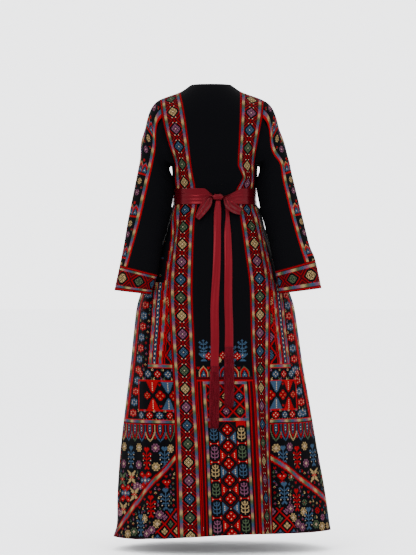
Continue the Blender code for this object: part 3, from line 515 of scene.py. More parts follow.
def ink_colours():
    """Linear red, green, blue and thread for each ink: bare cloth, the threads, the rainbow's shades."""
    made = np.zeros((RAINBOW_INK + RAINBOW_LONG, 4))
    made[0, :3] = linear(CREPE)
    for letter, i in INK.items():
        made[i] = (*linear(THREADS[letter]), 1)
    stops = np.array([linear(THREADS[letter]) for letter in RAINBOW])
    for i in range(RAINBOW_LONG):
        at = i / RAINBOW_LONG * len(RAINBOW)
        low, share = int(at), at % 1
        share = share * share * (3 - 2 * share)
        made[RAINBOW_INK + i] = (*(stops[low] * (1 - share) + stops[(low + 1) % len(stops)] * share), 1)
    return made


INKS = ink_colours()


class Chart:
    """The thread of each block of a panel. Rows run up from its lower edge, columns from its first seam."""

    def __init__(self, rows, columns):
        self.ink = np.zeros((rows, columns), int)

    def part(self, row, column, tall, wide):
        return self.ink[max(row, 0) : max(row + tall, 0), max(column, 0) : max(column + wide, 0)]

    def fill(self, row, column, tall, wide, letter):
        self.part(row, column, tall, wide)[:] = INK[letter]

    def rainbow(self, row, column, tall, wide, phase=0, across=False):
        """A stripe of the space-dyed thread, which changes down it or across it."""
        part = self.part(row, column, tall, wide)
        down = -(np.arange(part.shape[0])[:, None] + max(row, 0))
        along = np.arange(part.shape[1])[None] + max(column, 0) if across else down
        part[:] = RAINBOW_INK + (along + phase) % RAINBOW_LONG

    def draw(self, row, column, motif, flip=False, **swap):
        """Draws a motif with its middle at this block. Its first line is the top one."""
        lines = motif.split()
        tall, wide = len(lines), max(map(len, lines))
        for i, line in enumerate(lines):
            r = row + tall // 2 - i
            for j, letter in enumerate(line[::-1] if flip else line):
                c = column - wide // 2 + j
                letter = swap.get(letter, letter)
                if letter != "." and 0 <= r < self.ink.shape[0] and 0 <= c < self.ink.shape[1]:
                    self.ink[r, c] = 0 if letter == "_" else INK[letter]


ROSETTE = """
....X....
...XXX...
..X.X.X..
.XXX.XXX.
X.X.X.X.X
XX.XWX.XX
X.X.X.X.X
.XXX.XXX.
..X.X.X..
...XXX...
....X....
"""


BAND_CELLS = 27  # blocks across a band
FIELD_LEFT, FIELD_RIGHT = 6, 21  # columns of its lattice, between the stripes
LOZENGE = 7  # blocks from a lozenge's middle to the lattice's edge


def lattice(chart, row, colour):
    """A black lozenge with a rosette, and the red lattice round it, in a band's field."""
    column, reach = BAND_CELLS // 2, RAINBOW_LONG // 2
    for r in range(max(row - reach, 0), min(row + reach, chart.ink.shape[0])):
        inside = round((1 - (abs(r - row) / reach) ** 1.25) * (LOZENGE + 2)) - 2
        for c in range(FIELD_LEFT, FIELD_RIGHT):
            past = abs(c - column) - inside
            bare = past < 1 or past in (4, 6)
            dot = past == 1 and abs(r - row) == reach - 3 and (r + c) % 2
            chart.ink[r, c] = 0 if bare else INK["W" if dot else "R" if past in (1, 5) else "D"]
    chart.draw(row, column, ROSETTE, X=colour)


def band_chart(rows, anchor_low, anchor_high, belt, shift_low, shift_high):
    """An embroidered band: red edges, a rainbow stripe on each side, and the lattice between them."""
    chart = Chart(rows, BAND_CELLS)
    order = "MCGB"
    halves = ((anchor_low, shift_low, 0, belt), (anchor_high, shift_high, belt, rows))
    for anchor, shift, low, high in halves:
        part = Chart(rows, BAND_CELLS)
        for step in range(-(anchor // RAINBOW_LONG + 2), (rows - anchor) // RAINBOW_LONG + 2):
            lattice(part, anchor + step * RAINBOW_LONG, order[(step + shift) % 4])
        chart.ink[low:high] = part.ink[low:high]
    for k, letter in enumerate("DRD"):
        chart.fill(0, k, rows, 1, letter)
        chart.fill(0, BAND_CELLS - 1 - k, rows, 1, letter)
    chart.rainbow(0, 3, rows, 3)
    chart.rainbow(0, BAND_CELLS - 6, rows, 3, phase=7)
    return chart


# Meshes

WAIST_MIDDLE = np.array([-0.015, 0, 0])


def unit(vectors):
    return vectors / np.maximum(np.linalg.norm(vectors, axis=-1, keepdims=True), 1e-12)


def normals_on(points):
    """Normals of a grid of points on the body, turned away from the waist's middle on the whole."""
    normal = unit(np.cross(np.gradient(points, axis=0), np.gradient(points, axis=1)))
    outward = (points - WAIST_MIDDLE) * np.array([1, 1, 0])
    return normal * np.sign((normal * outward).sum())


def along_line(points):
    """How far along a line, or along each row of a grid, each of its points lies."""
    steps = np.linalg.norm(np.diff(points, axis=-2), axis=-1)
    return np.concatenate([np.zeros((*steps.shape[:-1], 1)), np.cumsum(steps, axis=-1)], axis=-1)


def at_even_steps(places, points, cell):
    """The places that lie a block apart along a line of points."""
    length = along_line(points)
    return np.interp(np.linspace(0, length[-1], int(round(length[-1] / cell)) + 1), length, places)


def cuts(count, step):
    """Which of count + 1 points the coarse inner face keeps."""
    return np.unique(np.round(np.linspace(0, count, max(2, math.ceil(count / step) + 1))).astype(int))


def placed(name, data):
    made = bpy.data.objects.new(name, data)
    bpy.context.scene.collection.objects.link(made)
    return made


def smooth_object(name, points, faces, material):
    mesh = bpy.data.meshes.new(name)
    mesh.from_pydata(points.reshape(-1, 3), [], faces)
    mesh.materials.append(material)
    mesh.shade_smooth()
    return placed(name, mesh)


# On the flat map that the looks are baked on, the outer face lies left, the inner face right of it and
# the rims at the right edge.
OUTER_WIDE = 0.86
INNER_LEFT, INNER_WIDE = 0.88, 0.10
MAP_TALL = 0.99
RIM_LEFT, RIM_WIDE, RIM_TALL = 0.992, 0.006, 0.002


def rim_places(count, share):
    """Places on the baked map for a rim's face of this many corners."""
    spread = np.linspace(0, 1, count)
    return np.stack([RIM_LEFT + RIM_WIDE * spread, share + RIM_TALL * spread * (1 - spread)], -1)


def make_object(name, points, faces, colours, stitch, bake, cloth):
    """A mesh of these faces, with a colour and two places on flat maps for each face's corner."""
    mesh = bpy.data.meshes.new(name)
    mesh.from_pydata(points, [], faces)
    colour = mesh.color_attributes.new("thread", "FLOAT_COLOR", "CORNER")
    colour.data.foreach_set("color", np.ascontiguousarray(colours, np.float32).ravel())
    for label, places in (("OFBake", bake), ("stitch", stitch)):
        layer = mesh.uv_layers.new(name=label)
        layer.data.foreach_set("uv", np.ascontiguousarray(places, np.float32).ravel())
    mesh.materials.append(cloth)
    mesh.shade_smooth()
    mesh.validate()
    mesh.update()
    return placed(name, mesh)


def cloth_piece(name, outer, normal, ink, cloth, wall, tube, scale, step, kept):
    """Cloth as a fine outer face of charted blocks, a coarse inner face, and the rims between them."""
    rows, columns = ink.shape
    wide = outer.shape[1]
    ids = np.arange(outer.shape[0] * wide).reshape(outer.shape[0], wide)
    if tube:
        ids = np.concatenate([ids, ids[:, :1]], axis=1)
    keep_r, keep_c = cuts(rows, step[0]) if kept is None else kept, cuts(columns, step[1])
    inner_c = keep_c[:-1] if tube else keep_c
    inner = (outer - wall * normal)[np.ix_(keep_r, inner_c % wide)]
    first = outer.shape[0] * wide
    behind = first + np.arange(inner.shape[0] * inner.shape[1]).reshape(inner.shape[:2])
    if tube:
        behind = np.concatenate([behind, behind[:, :1]], axis=1)
    points = np.concatenate([outer.reshape(-1, 3), inner.reshape(-1, 3)])

    front = np.stack([ids[:-1, :-1], ids[:-1, 1:], ids[1:, 1:], ids[1:, :-1]], -1).reshape(-1, 4)
    back = np.stack([behind[:-1, :-1], behind[1:, :-1], behind[1:, 1:], behind[:-1, 1:]], -1).reshape(-1, 4)
    r, c = np.meshgrid(np.arange(rows), np.arange(columns), indexing="ij")
    corner_r = np.stack([r, r, r + 1, r + 1], -1).reshape(-1)
    corner_c = np.stack([c, c + 1, c + 1, c], -1).reshape(-1)
    stitch = [np.stack([corner_c * scale[0], corner_r * scale[1]], -1)]
    bake = [np.stack([corner_c / columns * OUTER_WIDE, corner_r / rows * MAP_TALL], -1)]
    colours = [np.repeat(INKS[ink.reshape(-1)], 4, axis=0)]

    r, c = np.meshgrid(keep_r, keep_c, indexing="ij")
    place = np.stack([INNER_LEFT + c / columns * INNER_WIDE, r / rows * MAP_TALL], -1)
    loops = np.stack([place[:-1, :-1], place[1:, :-1], place[1:, 1:], place[:-1, 1:]], 2).reshape(-1, 2)
    bake.append(loops)
    stitch.append(np.zeros_like(loops))
    colours.append(np.repeat(INKS[:1], len(loops), axis=0))

    rims = []

    def rim(edge, behind_edge, kept):
        for i in range(len(kept) - 1):
            run = list(edge[kept[i] : kept[i + 1] + 1])
            rims.append((run + [behind_edge[i + 1], behind_edge[i]], kept[i] / kept[-1]))

    rim(ids[0, ::-1], behind[0, ::-1], columns - keep_c[::-1])
    rim(ids[-1], behind[-1], keep_c)
    if not tube:
        rim(ids[:, 0], behind[:, 0], keep_r)
        rim(ids[::-1, -1], behind[::-1, -1], rows - keep_r[::-1])
    faces = front.tolist() + back.tolist()
    for run, share in rims:
        faces.append([int(i) for i in run])
        bake.append(rim_places(len(run), share))
        stitch.append(np.zeros((len(run), 2)))
        colours.append(np.repeat(INKS[:1], len(run), axis=0))
    whole = (np.concatenate(parts) for parts in (colours, stitch, bake))
    return make_object(name, points, faces, *whole, cloth)


BACK_PLAIN = -0.770  # the centre back is plain from here up
CENTER_CELLS = 65  # blocks across the centre back
STRIP_CELLS = 25  # blocks across a sleeve's strip
CUFF_CELLS = 120  # blocks round a cuff

# Motifs. X and Y stand for colours given where they are drawn, and _ for bare cloth over what lies there.
# In the charts, whole numbers are blocks, and numbers with a point are heights in metres.

FLOWER = """
....XXX....
...XXXXX...
...XXYXX...
.XX.XXX.XX.
XXXX.X.XXXX
XXYXX.XXYXX
XXXX.X.XXXX
.XX.XXX.XX.
...XXYXX...
...XXXXX...
....XXX....
"""
BLOSSOM = """
....X....
...XXX...
.XXXYXXX.
.XX.X.XX.
XXYXXXYXX
.XX.X.XX.
.XXXYXXX.
...XXX...
....X....
"""
SMALL_STAR = """
..X.X..
.XX.XX.
XX.X.XX
..XYX..
XX.X.XX
.XX.XX.
..X.X..
"""
ROUND_STAR = """
..XX.XX..
..X.X.X..
XX.XXX.XX
X.X.Y.X.X
.XXYXYXX.
X.X.Y.X.X
XX.XXX.XX
..X.X.X..
..XX.XX..
"""
CORNER_LEAF = """
X..
.X.
XX.
"""
SPRIG = """
.X.
X.X
.Y.
"""
HEART = """
R.R
RRR
.R.
"""
BIG_HEART = """
.XXX...XXX.
XXXXX.XXXXX
XXXYXXXYXXX
.XXXXXXXXX.
..XXXXXXX..
...XXXXX...
....XXX....
.....X.....
...X.X.X...
....XXX....
.....X.....
"""
PLANT = """
.....X.....
....XXX....
.X...X...X.
XXX..X..XXX
.X.X.X.X.X.
..XXXXXXX..
.....X.....
.X...X...X.
XXX..X..XXX
.XX.XXX.XX.
...XXXXX...
.....X.....
.XXX.X.XXX.
..XXXXXXX..
.....X.....
X.X.XXX.X.X
XXXXXXXXXXX
.XXXXYXXXX.
..XXXXXXX..
...XXXXX...
.....X.....
.....X.....
...XXXXX...
..XXXXXXX..
"""
ARCH = """
......X......
.....XRX.....
....XRRRX....
...XRRRRRX...
..XRRR_RRRX..
..XRR_Y_RRX..
.XRR__Y__RRX.
.XRR_YYY_RRX.
.XR__YYY__RX.
.XR_YYWYY_RX.
.XR_YYYYY_RX.
.XR_YY_YY_RX.
"""
HANGING_ARCH = """
X..R.YYY.R..X
X.DR.Y.Y.RD.X
X.DR.Y.Y.RD.X
X.DR.YWY.RD.X
X.DR.YYY.RD.X
X.DR.Y.Y.RD.X
X.DR.YWY.RD.X
X.DR.Y.Y.RD.X
XX.R..Y..R.XX
.X.DR.Y.RD.X.
.X.DR.Y.RD.X.
.XX.DR.RD.XX.
..X.DRRRD.X..
..XX.DRD.XX..
...X..R..X...
...XX...XX...
....XX.XX....
.....X.X.....
......X......
"""
LEAF = """
....X....
.X.XXX.X.
.X..X..X.
.XX.X.XX.
..XXXXX..
X...X...X
X...X...X
XX..X..XX
.XXXXXXX.
X...X...X
X...X...X
XX..X..XX
.XXXXXXX.
....X....
....X....
"""
TRIANGLE_IN = """
X......
XX.....
XXX....
XXXX...
XXYXX..
XXXXXX.
XXYXXXX
XXXXXX.
XXYXX..
XXXX...
XXX....
XX.....
X......
"""
TRIANGLE_DOWN = """
XXXXXXXXXXXXXXX
.XXXXXXYXXXXXX.
.XXXXXXXXXXXXX.
..XXXXXYXXXXX..
..XXXXXXXXXXX..
...XXXXYXXXX...
...XXXXXXXXX...
....XXXYXXX....
....XXXXXXX....
.....XXYXX.....
.....XXXXX.....
......XXX......
.......X.......
"""
TREE = """
....XX.XX....
...XXXXXXX...
...XXXXXXX...
....XXXXX....
.....XXX.....
......X......
.XX...X...XX.
XXXX..X..XXXX
.X.XX.X.XX.X.
.Y..XXXXX..Y.
......X......
..XX..X..XX..
.XXXX.X.XXXX.
.X..XXXXX..X.
.Y....X....Y.
......X......
...XX.X.XX...
..XXXXXXXXX..
..X...X...X..
..Y..XXX..Y..
......X......
.....XXX.....
....XXXXX....
...XXX.XXX...
....X...X....
"""
ROUND_CROSS = """
...RRR.......RRR...
..RRRRR.....RRRRR..
.RRRWRRR...RRRWRRR.
.RRRRRRRR.RRRRRRRR.
..RRRRRRR.RRRRRRR..
....RRRRRXRRRRR....
......RRXXXRR......
...XXX.RXXXR.XXX...
..XXXXXXXWXXXXXXX..
..XXWXXXWWWXXXWXX..
..XXXXXXXWXXXXXXX..
...XXX.RXXXR.XXX...
......RRXXXRR......
....RRRRRXRRRRR....
..RRRRRRR.RRRRRRR..
.RRRRRRRR.RRRRRRRR.
.RRRWRRR...RRRWRRR.
..RRRRR.....RRRRR..
...RRR.......RRR...
"""
CURL_CROSS = """
XX..........XX
XXX.......XXX.
.XXXX...XXXX..
..XXXX.XXXX...
.XXXXX.XXXXX..
...XXXRXXX....
....XRRRX.....
..RRRRWRRRR...
....XRRRX.....
...XXXRXXX....
.XXXXX.XXXXX..
..XXXX.XXXX...
.XXXX...XXXX..
XXX.......XXX.
XX..........XX
"""
WIDE_BLOSSOM = """
.....XXX.....
.XX.XXXXX.XX.
XXXXXXYXXXXXX
XXYXX.X.XXYXX
.XXX.XXX.XXX.
XXYXX.X.XXYXX
XXXXXXYXXXXXX
.XX.XXXXX.XX.
.....XXX.....
"""


def rosettes(chart, row, columns, colours, gap=6):
    """A row of small blossoms, with a leaf in each corner between them."""
    leaves = "CMG"
    for i, column in enumerate(columns):
        chart.draw(row, column, BLOSSOM, X=colours[i % len(colours)], Y="W")
        for k, (up, over) in enumerate(((5, gap - 1), (5, 1 - gap), (-5, gap - 1), (-5, 1 - gap))):
            chart.draw(row + up, column + over, CORNER_LEAF, flip=up * over > 0, X=leaves[(i + k) % 3])


def strew(chart, low, high, left, right, motifs):
    """Small motifs in the bare cloth that is left between larger ones."""
    order = "CGMBRGCM"
    count = 0
    for motif, clear in motifs:
        for r in range(low + clear, high - clear, 2):
            for c in range(left(r) + clear, right(r) - clear, 2):
                if not chart.part(r - clear, c - clear, 2 * clear + 1, 2 * clear + 1).any():
                    chart.draw(r, c, motif, flip=count % 2 == 1, X=order[count % 8], Y="R")
                    count += 1


def draw_center(chart, row):
    """The centre back's lower part: plants and arches, a framed lattice, and three columns below it."""
    wide = CENTER_CELLS
    middle = wide // 2
    foot = row(-0.9064)
    for side in (-1, 1):
        chart.draw(row(-0.821), middle + side * 23, PLANT, X="B", Y="W")
        chart.draw(row(-0.836), middle + side * 11, PLANT, X="B", Y="W")
    blossoms = ((0, -0.838, "R"), (-6, -0.852, "C"), (6, -0.852, "C"), (-17, -0.84, "R"), (17, -0.84, "R"))
    for column, z, colour in blossoms:
        chart.draw(row(z), middle + column, BLOSSOM, X=colour, Y="W")
    for i, column in enumerate(range(middle - 24, middle + 25, 12)):
        chart.draw(foot + 6, column, ARCH, X="GCB"[i % 3], Y="B")
        chart.draw(foot + 10, column + 6, HEART)
    chart.fill(foot - 1, 0, 2, wide, "D")
    chart.fill(foot - 4, 0, 2, wide, "R")
    top, bar, hem = row(-0.9192), row(-1.0411), 0
    for k, letter in enumerate("RD.DRD."):
        for column in (k, wide - 1 - k):
            chart.ink[hem:top, column] = INK.get(letter, 0)
    chart.rainbow(hem, 7, top - hem, 3)
    chart.rainbow(hem, wide - 10, top - hem, 3, phase=5)
    for z in (top - 3, bar - 1):
        chart.rainbow(z, 7, 3, wide - 14, across=True)
    # Upper field: rows of lozenges side by side
    left, right = 11, wide - 11
    for r in range(bar + 2, top - 3):
        for c in range(left, right):
            a, b = (r - bar + c - middle) % 16, (r - bar - c + middle) % 16
            chart.ink[r, c] = INK["R"] if a < 2 or b < 2 else INK["D"] if a == 2 or b == 2 else 0
    for i, r in enumerate(range(bar + 1, top + 8, 8)):
        for k, column in enumerate(range(middle - 24 + (i % 2) * 8, middle + 25, 16)):
            if bar + 5 < r < top - 6 and left + 3 < column < right - 3:
                chart.draw(r, column, SMALL_STAR, X="CGMB"[(i + k) % 4], Y="W")
    chart.fill(bar + 2, left - 1, top - bar - 5, 1, "R")
    chart.fill(bar + 2, right, top - bar - 5, 1, "R")
    # Lower field: flowers in the middle, leaves at the sides
    low, high = hem, bar - 2
    chart.fill(low, 11, high - low, 11, "R")
    chart.fill(low, wide - 22, high - low, 11, "R")
    flowers = [row(z) for z in (-1.073, -1.128, -1.182, -1.237, -1.295, -1.349)]
    flowers.append(2 * flowers[-1] - flowers[-2])
    for i, r in enumerate(flowers):
        chart.draw(r, middle, FLOWER, X="R", Y="W")
        for k in range(-9, 10):
            reach = 10 - abs(k)
            for over in (-reach, reach):
                if low <= r + k < high:
                    chart.ink[r + k, middle + over] = INK["D"]
        if i + 1 < len(flowers):
            between = (r + flowers[i + 1]) // 2
            colour = "B" if i % 2 == 0 else "R"
            chart.draw(between, middle - 6, TRIANGLE_IN, X=colour, Y="W")
            chart.draw(between, middle + 6, TRIANGLE_IN, flip=True, X=colour, Y="W")
            chart.draw(between, middle, SPRIG, X="R", Y="W")
    start = row(-1.089)
    for i in range(8):
        r = start - i * RAINBOW_LONG
        for column, shift in ((16, 0), (wide - 17, 2)):
            for k in range(-9, 10):
                reach = round(5.4 * math.sqrt(max(1 - (k / 9.6) ** 4, 0)))
                if low <= r + k < high:
                    chart.ink[r + k, column - reach : column + reach + 1] = 0
            chart.draw(r, column, LEAF, X="CGBM"[(i + shift) % 4], Y="W")
            for over in (-4, 4):
                if low <= r - 10 < high:
                    chart.ink[r - 10, column + over] = INK["W"]
    chart.ink[high : bar - 1, 11 : wide - 11] = INK["R"]


def draw_side(chart, row, width, side):
    """A side gore from the seam out: stripes that leave the seam, blossoms, and the wide hem."""
    rows, most = chart.ink.shape
    place = dict(left=0, right=1)[side]
    belt, hips = row(-0.345), row(-0.602)
    turn, box_top, box_foot, bar = row(-0.866), row(-0.916), row(-1.0155), row(-1.044)
    width = np.floor(width).astype(int)

    def dye(r, shift):
        return RAINBOW_INK + (shift - r) % RAINBOW_LONG

    def stripe(r, start, letters, shift=0):
        for k, letter in enumerate(letters):
            if letter != "." and 0 <= start + k < most:
                chart.ink[r, start + k] = dye(r, shift) if letter == "#" else INK[letter]

    # The first stripes run straight down from the waist, so they leave the slanting seam
    bends = [turn, row(-0.744), row(-0.66), row(-0.47)]
    drift = np.interp(np.arange(rows), bends, [12, 6, 3, -3]).astype(int)
    for r in range(turn, min(rows, row(-0.30))):
        start = drift[r]
        past = abs((r - turn) % RAINBOW_LONG - RAINBOW_LONG // 2)
        inside = round((1 - past / 10) * 8) - 2
        for column in range(max(start, 0)):
            bead = column < inside - 1 and (column + r) % 3
            chart.ink[r, column] = INK["BMGC"[((r - turn) // RAINBOW_LONG) % 4]] if bead else 0
            if 0 < column - inside < 3 or start - column == 2:
                chart.ink[r, column] = INK["R"]
        stripe(r, start, "RR###RD", 6)
        if r < hips:
            stripe(r, start + 7, "R.B.B.R###R", 3)
            if r % 5 < 2:
                chart.ink[r, max(start + 10, 0)] = INK["W"]
            for column in range(start + 20, max(width[r] - 20, 0)):
                if (column - start - 20) % 12 == 11:
                    chart.ink[r, column] = INK["D"]
    for r in range(bar, hips):
        stripe(r, width[r] - 20, "DRRRRR.########..", 9)
    for i, r in enumerate(range(hips + 8, belt - 4, 10)):
        for k, column in enumerate(range(12 + (i % 2) * 6, most, 12)):
            chart.draw(r + (k * 3) % 5, column, SPRIG, X="GCBM"[(i + k) % 4], Y="R")
    for i, r in enumerate(range(turn - 7, hips - 5, 12)):
        chart.draw(r, max(drift[r] + 26, width[r] - 30), WIDE_BLOSSOM, X="RB"[(i + place) % 2], Y="W")
    for i, r in enumerate(range(turn - 19, bar + 4, -12)):
        chart.draw(r, width[r] - 30, WIDE_BLOSSOM, X="RB"[(i + 1 + place) % 2], Y="W")
    # Across the foot of the stripes
    chart.rainbow(turn - 3, 0, 3, drift[turn] + 18, across=True)
    chart.fill(turn - 4, 0, 1, drift[turn] + 18, "R")
    chart.fill(turn, 0, 1, drift[turn] + 18, "R")
    edge = width[box_foot] - 39
    rosettes(chart, (turn + box_top) // 2 - 2, range(6, edge + 4, 12), "BR")
    chart.fill(box_foot, 0, 2, edge, "R")
    chart.fill(box_top - 2, 0, 2, edge, "R")
    chart.fill(box_foot, edge - 2, box_top - box_foot, 2, "R")
    centre = (box_top + box_foot) // 2
    lines = TRIANGLE_DOWN.split()
    for motif_row, shape in ((centre + 9, lines), (centre - 9, lines[::-1])):
        chart.draw(motif_row, 25, "\n".join(shape), X="R", Y="W")
        chart.draw(motif_row, 7, "\n".join(shape), X="B", Y="W")
    chart.draw(centre, 16, FLOWER, X="R", Y="C")
    chart.draw(centre, 0, FLOWER, X="R", Y="C")
    chart.draw(centre, 32, BLOSSOM, X="R", Y="C")
    for up in (-12, 12):
        chart.draw(centre + up, 16, HEART)
    rosettes(chart, (box_foot + bar) // 2, range(6, edge + 4, 12), "RB")

    def filled_from(r):
        return drift[r] + 18 if r >= turn else edge + 1 if box_foot <= r <= box_top else 0

    small = ((SPRIG, 3), (CORNER_LEAF, 2))
    strew(chart, bar + 2, hips - 2, filled_from, lambda r: width[r] - 19, small)
    chart.rainbow(bar - 3, 0, 3, most, across=True)
    chart.fill(bar, 0, 1, most, "R")
    chart.fill(bar - 5, 0, 1, most, "R")
    # Arches that hang from the bar
    for i, column in enumerate(range(6, most + 6, 12)):
        chart.draw(bar - 15, column, HANGING_ARCH, X="GBCB"[i % 4], Y="B")
        chart.fill(bar - 18, column + 6, 13, 1, "R")
        chart.draw(bar - 20, column + 6, HEART)
    # The wide hem: a slanting stripe from the seam to the corner, with trees, stars and crosses round it
    slant_top = row(-1.165)
    slope = (slant_top - row(SLANT_LOW[side])) / SLANT_REACH[side]

    def slant(column):
        return slant_top - slope * column

    foot = bar - 28
    for name, thread, down, column in HEM_ABOVE:
        if foot - down > slant(column) + 6:
            chart.draw(foot - down, column, HEM_MOTIFS[name], X=thread, Y="W")
    for name, thread, up, column in HEM_BELOW:
        if up < slant(column) - 6:
            chart.draw(up, column, HEM_MOTIFS[name], X=thread, Y="W")
    # A slanting lattice near the seam at the hem
    for r in range(max(row(-1.325), 0)):
        for c in range(min(most, int(30 - r * 0.5))):
            if r > slant(c) - 12:
                continue
            a, b = (r + c) % 16, (r - c) % 16
            bead = 5 <= a <= 12 and 5 <= b <= 12 and a != 8 and b != 8
            colour = "CGMB"[((r + c) // 16 + (r - c) // 16) % 4]
            chart.ink[r, c] = INK["R"] if a < 2 or b < 2 else INK[colour] if bead else 0
    for c in range(most):
        r = int(round(slant(c)))
        for k, letter in enumerate("DRR####RRD"):
            if 0 <= r + k - 5 < rows:
                chart.ink[r + k - 5, c] = RAINBOW_INK + c % RAINBOW_LONG if letter == "#" else INK[letter]
        if c % 9 == 4:
            chart.draw(r - 9, c, HEART)
    small = ((SMALL_STAR, 5), (SPRIG, 3), (CORNER_LEAF, 2))
    strew(chart, 0, foot - 26, lambda r: 0, lambda r: most, small)
    chart.fill(0, 0, 1, most, "D")


# Where the slanting stripe ends on each side: its height, and its blocks from the seam
SLANT_LOW = {"left": -1.372, "right": -1.330}
SLANT_REACH = {"left": 77, "right": 88}
HEM_MOTIFS = {
    "tree": TREE,
    "star": ROUND_STAR,
    "round": ROUND_CROSS,
    "curl": CURL_CROSS,
    "blossom": WIDE_BLOSSOM,
    "heart": BIG_HEART,
}
# Motifs over the slanting stripe: which, its thread, blocks down from the arches and out from the seam
HEM_ABOVE = (
    ("star", "C", 4, 6),
    ("tree", "B", 14, 14),
    ("star", "M", 3, 24),
    ("star", "C", 24, 24),
    ("tree", "R", 15, 35),
    ("star", "C", 3, 47),
    ("star", "M", 22, 48),
    ("tree", "B", 14, 61),
    ("star", "C", 3, 75),
    ("star", "M", 22, 75),
    ("tree", "R", 15, 88),
    ("round", "B", 39, 38),
    ("curl", "C", 36, 61),
    ("blossom", "M", 46, 51),
    ("curl", "C", 55, 57),
    ("round", "B", 54, 71),
    ("curl", "G", 39, 78),
    ("blossom", "M", 42, 94),
    ("round", "B", 62, 92),
    ("curl", "C", 72, 76),
    ("blossom", "M", 76, 84),
    ("curl", "C", 92, 86),
    ("round", "B", 84, 102),
    ("tree", "R", 108, 98),
)
# Motifs under the slanting stripe: which, its thread, blocks up from the hem and out from the seam
HEM_BELOW = (
    ("heart", "R", 60, 12),
    ("tree", "B", 44, 14),
    ("star", "G", 62, 24),
    ("tree", "R", 36, 31),
    ("star", "M", 27, 21),
    ("star", "C", 17, 24),
    ("star", "M", 10, 31),
    ("star", "C", 23, 41),
    ("tree", "B", 15, 48),
    ("star", "G", 8, 58),
    ("star", "M", 6, 38),
    ("star", "C", 5, 67),
)


STRIP_PERIOD = 49  # blocks from one pair of arches to the next


def strip_chart(rows):
    """The strip down the sleeve: stripes at both edges, and arches, then two stars, again and again."""
    chart = Chart(rows, STRIP_CELLS)
    middle = STRIP_CELLS // 2
    for start in range(rows + STRIP_PERIOD - 30, -60, -STRIP_PERIOD):
        for over, thread in ((-4, "C"), (4, "B")):
            chart.draw(start, middle + over, ARCH, X=thread, Y="B")
        chart.fill(start - 8, 5, 2, STRIP_CELLS - 10, "R")
        chart.fill(start + 7, middle - 1, 3, 3, "R")
        chart.draw(start - 16, middle, SMALL_STAR, X="C", Y="R")
        chart.draw(start - 29, middle, SMALL_STAR, X="M", Y="W")
        for over in (-5, 5):
            chart.draw(start - 23, middle + over, SPRIG, X="R", Y="G")
    for left in (0, STRIP_CELLS - 5):
        chart.fill(0, left, rows, 5, "R")
        chart.rainbow(0, left + (2 if left == 0 else 0), rows, 3)
    return chart


# Materials

# How fine each noise is, in features to a metre
WEAVE = 900
WEAR = 35
GRAIN = 500
SHADING = 14


def nodes_of(name, colour, roughness, specular):
    made = bpy.data.materials.new(name)
    made.use_nodes = True
    made.diffuse_color = (*colour, 1)
    tree = made.node_tree
    shader = tree.nodes["Principled BSDF"]
    shader.inputs["Base Color"].default_value = (*colour, 1)
    shader.inputs["Roughness"].default_value = roughness
    shader.inputs["Specular IOR Level"].default_value = specular
    return made, tree, shader


def add_node(tree, kind, **settings):
    node = tree.nodes.new(kind)
    for name, value in settings.items():
        setattr(node, name, value)
    return node


def math_node(tree, operation, *values):
    node = add_node(tree, "ShaderNodeMath", operation=operation)
    for i, value in enumerate(values):
        if isinstance(value, (int, float)):
            node.inputs[i].default_value = value
        else:
            tree.links.new(value, node.inputs[i])
    return node.outputs[0]


def line_of(tree, value, factor, base):
    """A value times a factor, on a base."""
    return math_node(tree, "ADD", math_node(tree, "MULTIPLY", value, factor), base)


def scaled(tree, colour, amount):
    """A colour times a number."""
    node = add_node(tree, "ShaderNodeVectorMath", operation="SCALE")
    tree.links.new(colour, node.inputs[0])
    tree.links.new(amount, node.inputs["Scale"])
    return node.outputs[0]


def noise_of(tree, scale, stretch=(1, 1, 1)):
    place = add_node(tree, "ShaderNodeTexCoord")
    mapping = add_node(tree, "ShaderNodeMapping")
    mapping.inputs["Scale"].default_value = stretch
    tree.links.new(place.outputs["Object"], mapping.inputs["Vector"])
    noise = add_node(tree, "ShaderNodeTexNoise")
    noise.inputs["Scale"].default_value = scale
    noise.inputs["Detail"].default_value = 2
    tree.links.new(mapping.outputs[0], noise.inputs["Vector"])
    return noise.outputs["Fac"]


def bumped(tree, shader, height, distance, strength=1.0):
    bump = add_node(tree, "ShaderNodeBump")
    bump.inputs["Distance"].default_value = distance
    bump.inputs["Strength"].default_value = strength
    tree.links.new(height, bump.inputs["Height"])
    tree.links.new(bump.outputs[0], shader.inputs["Normal"])


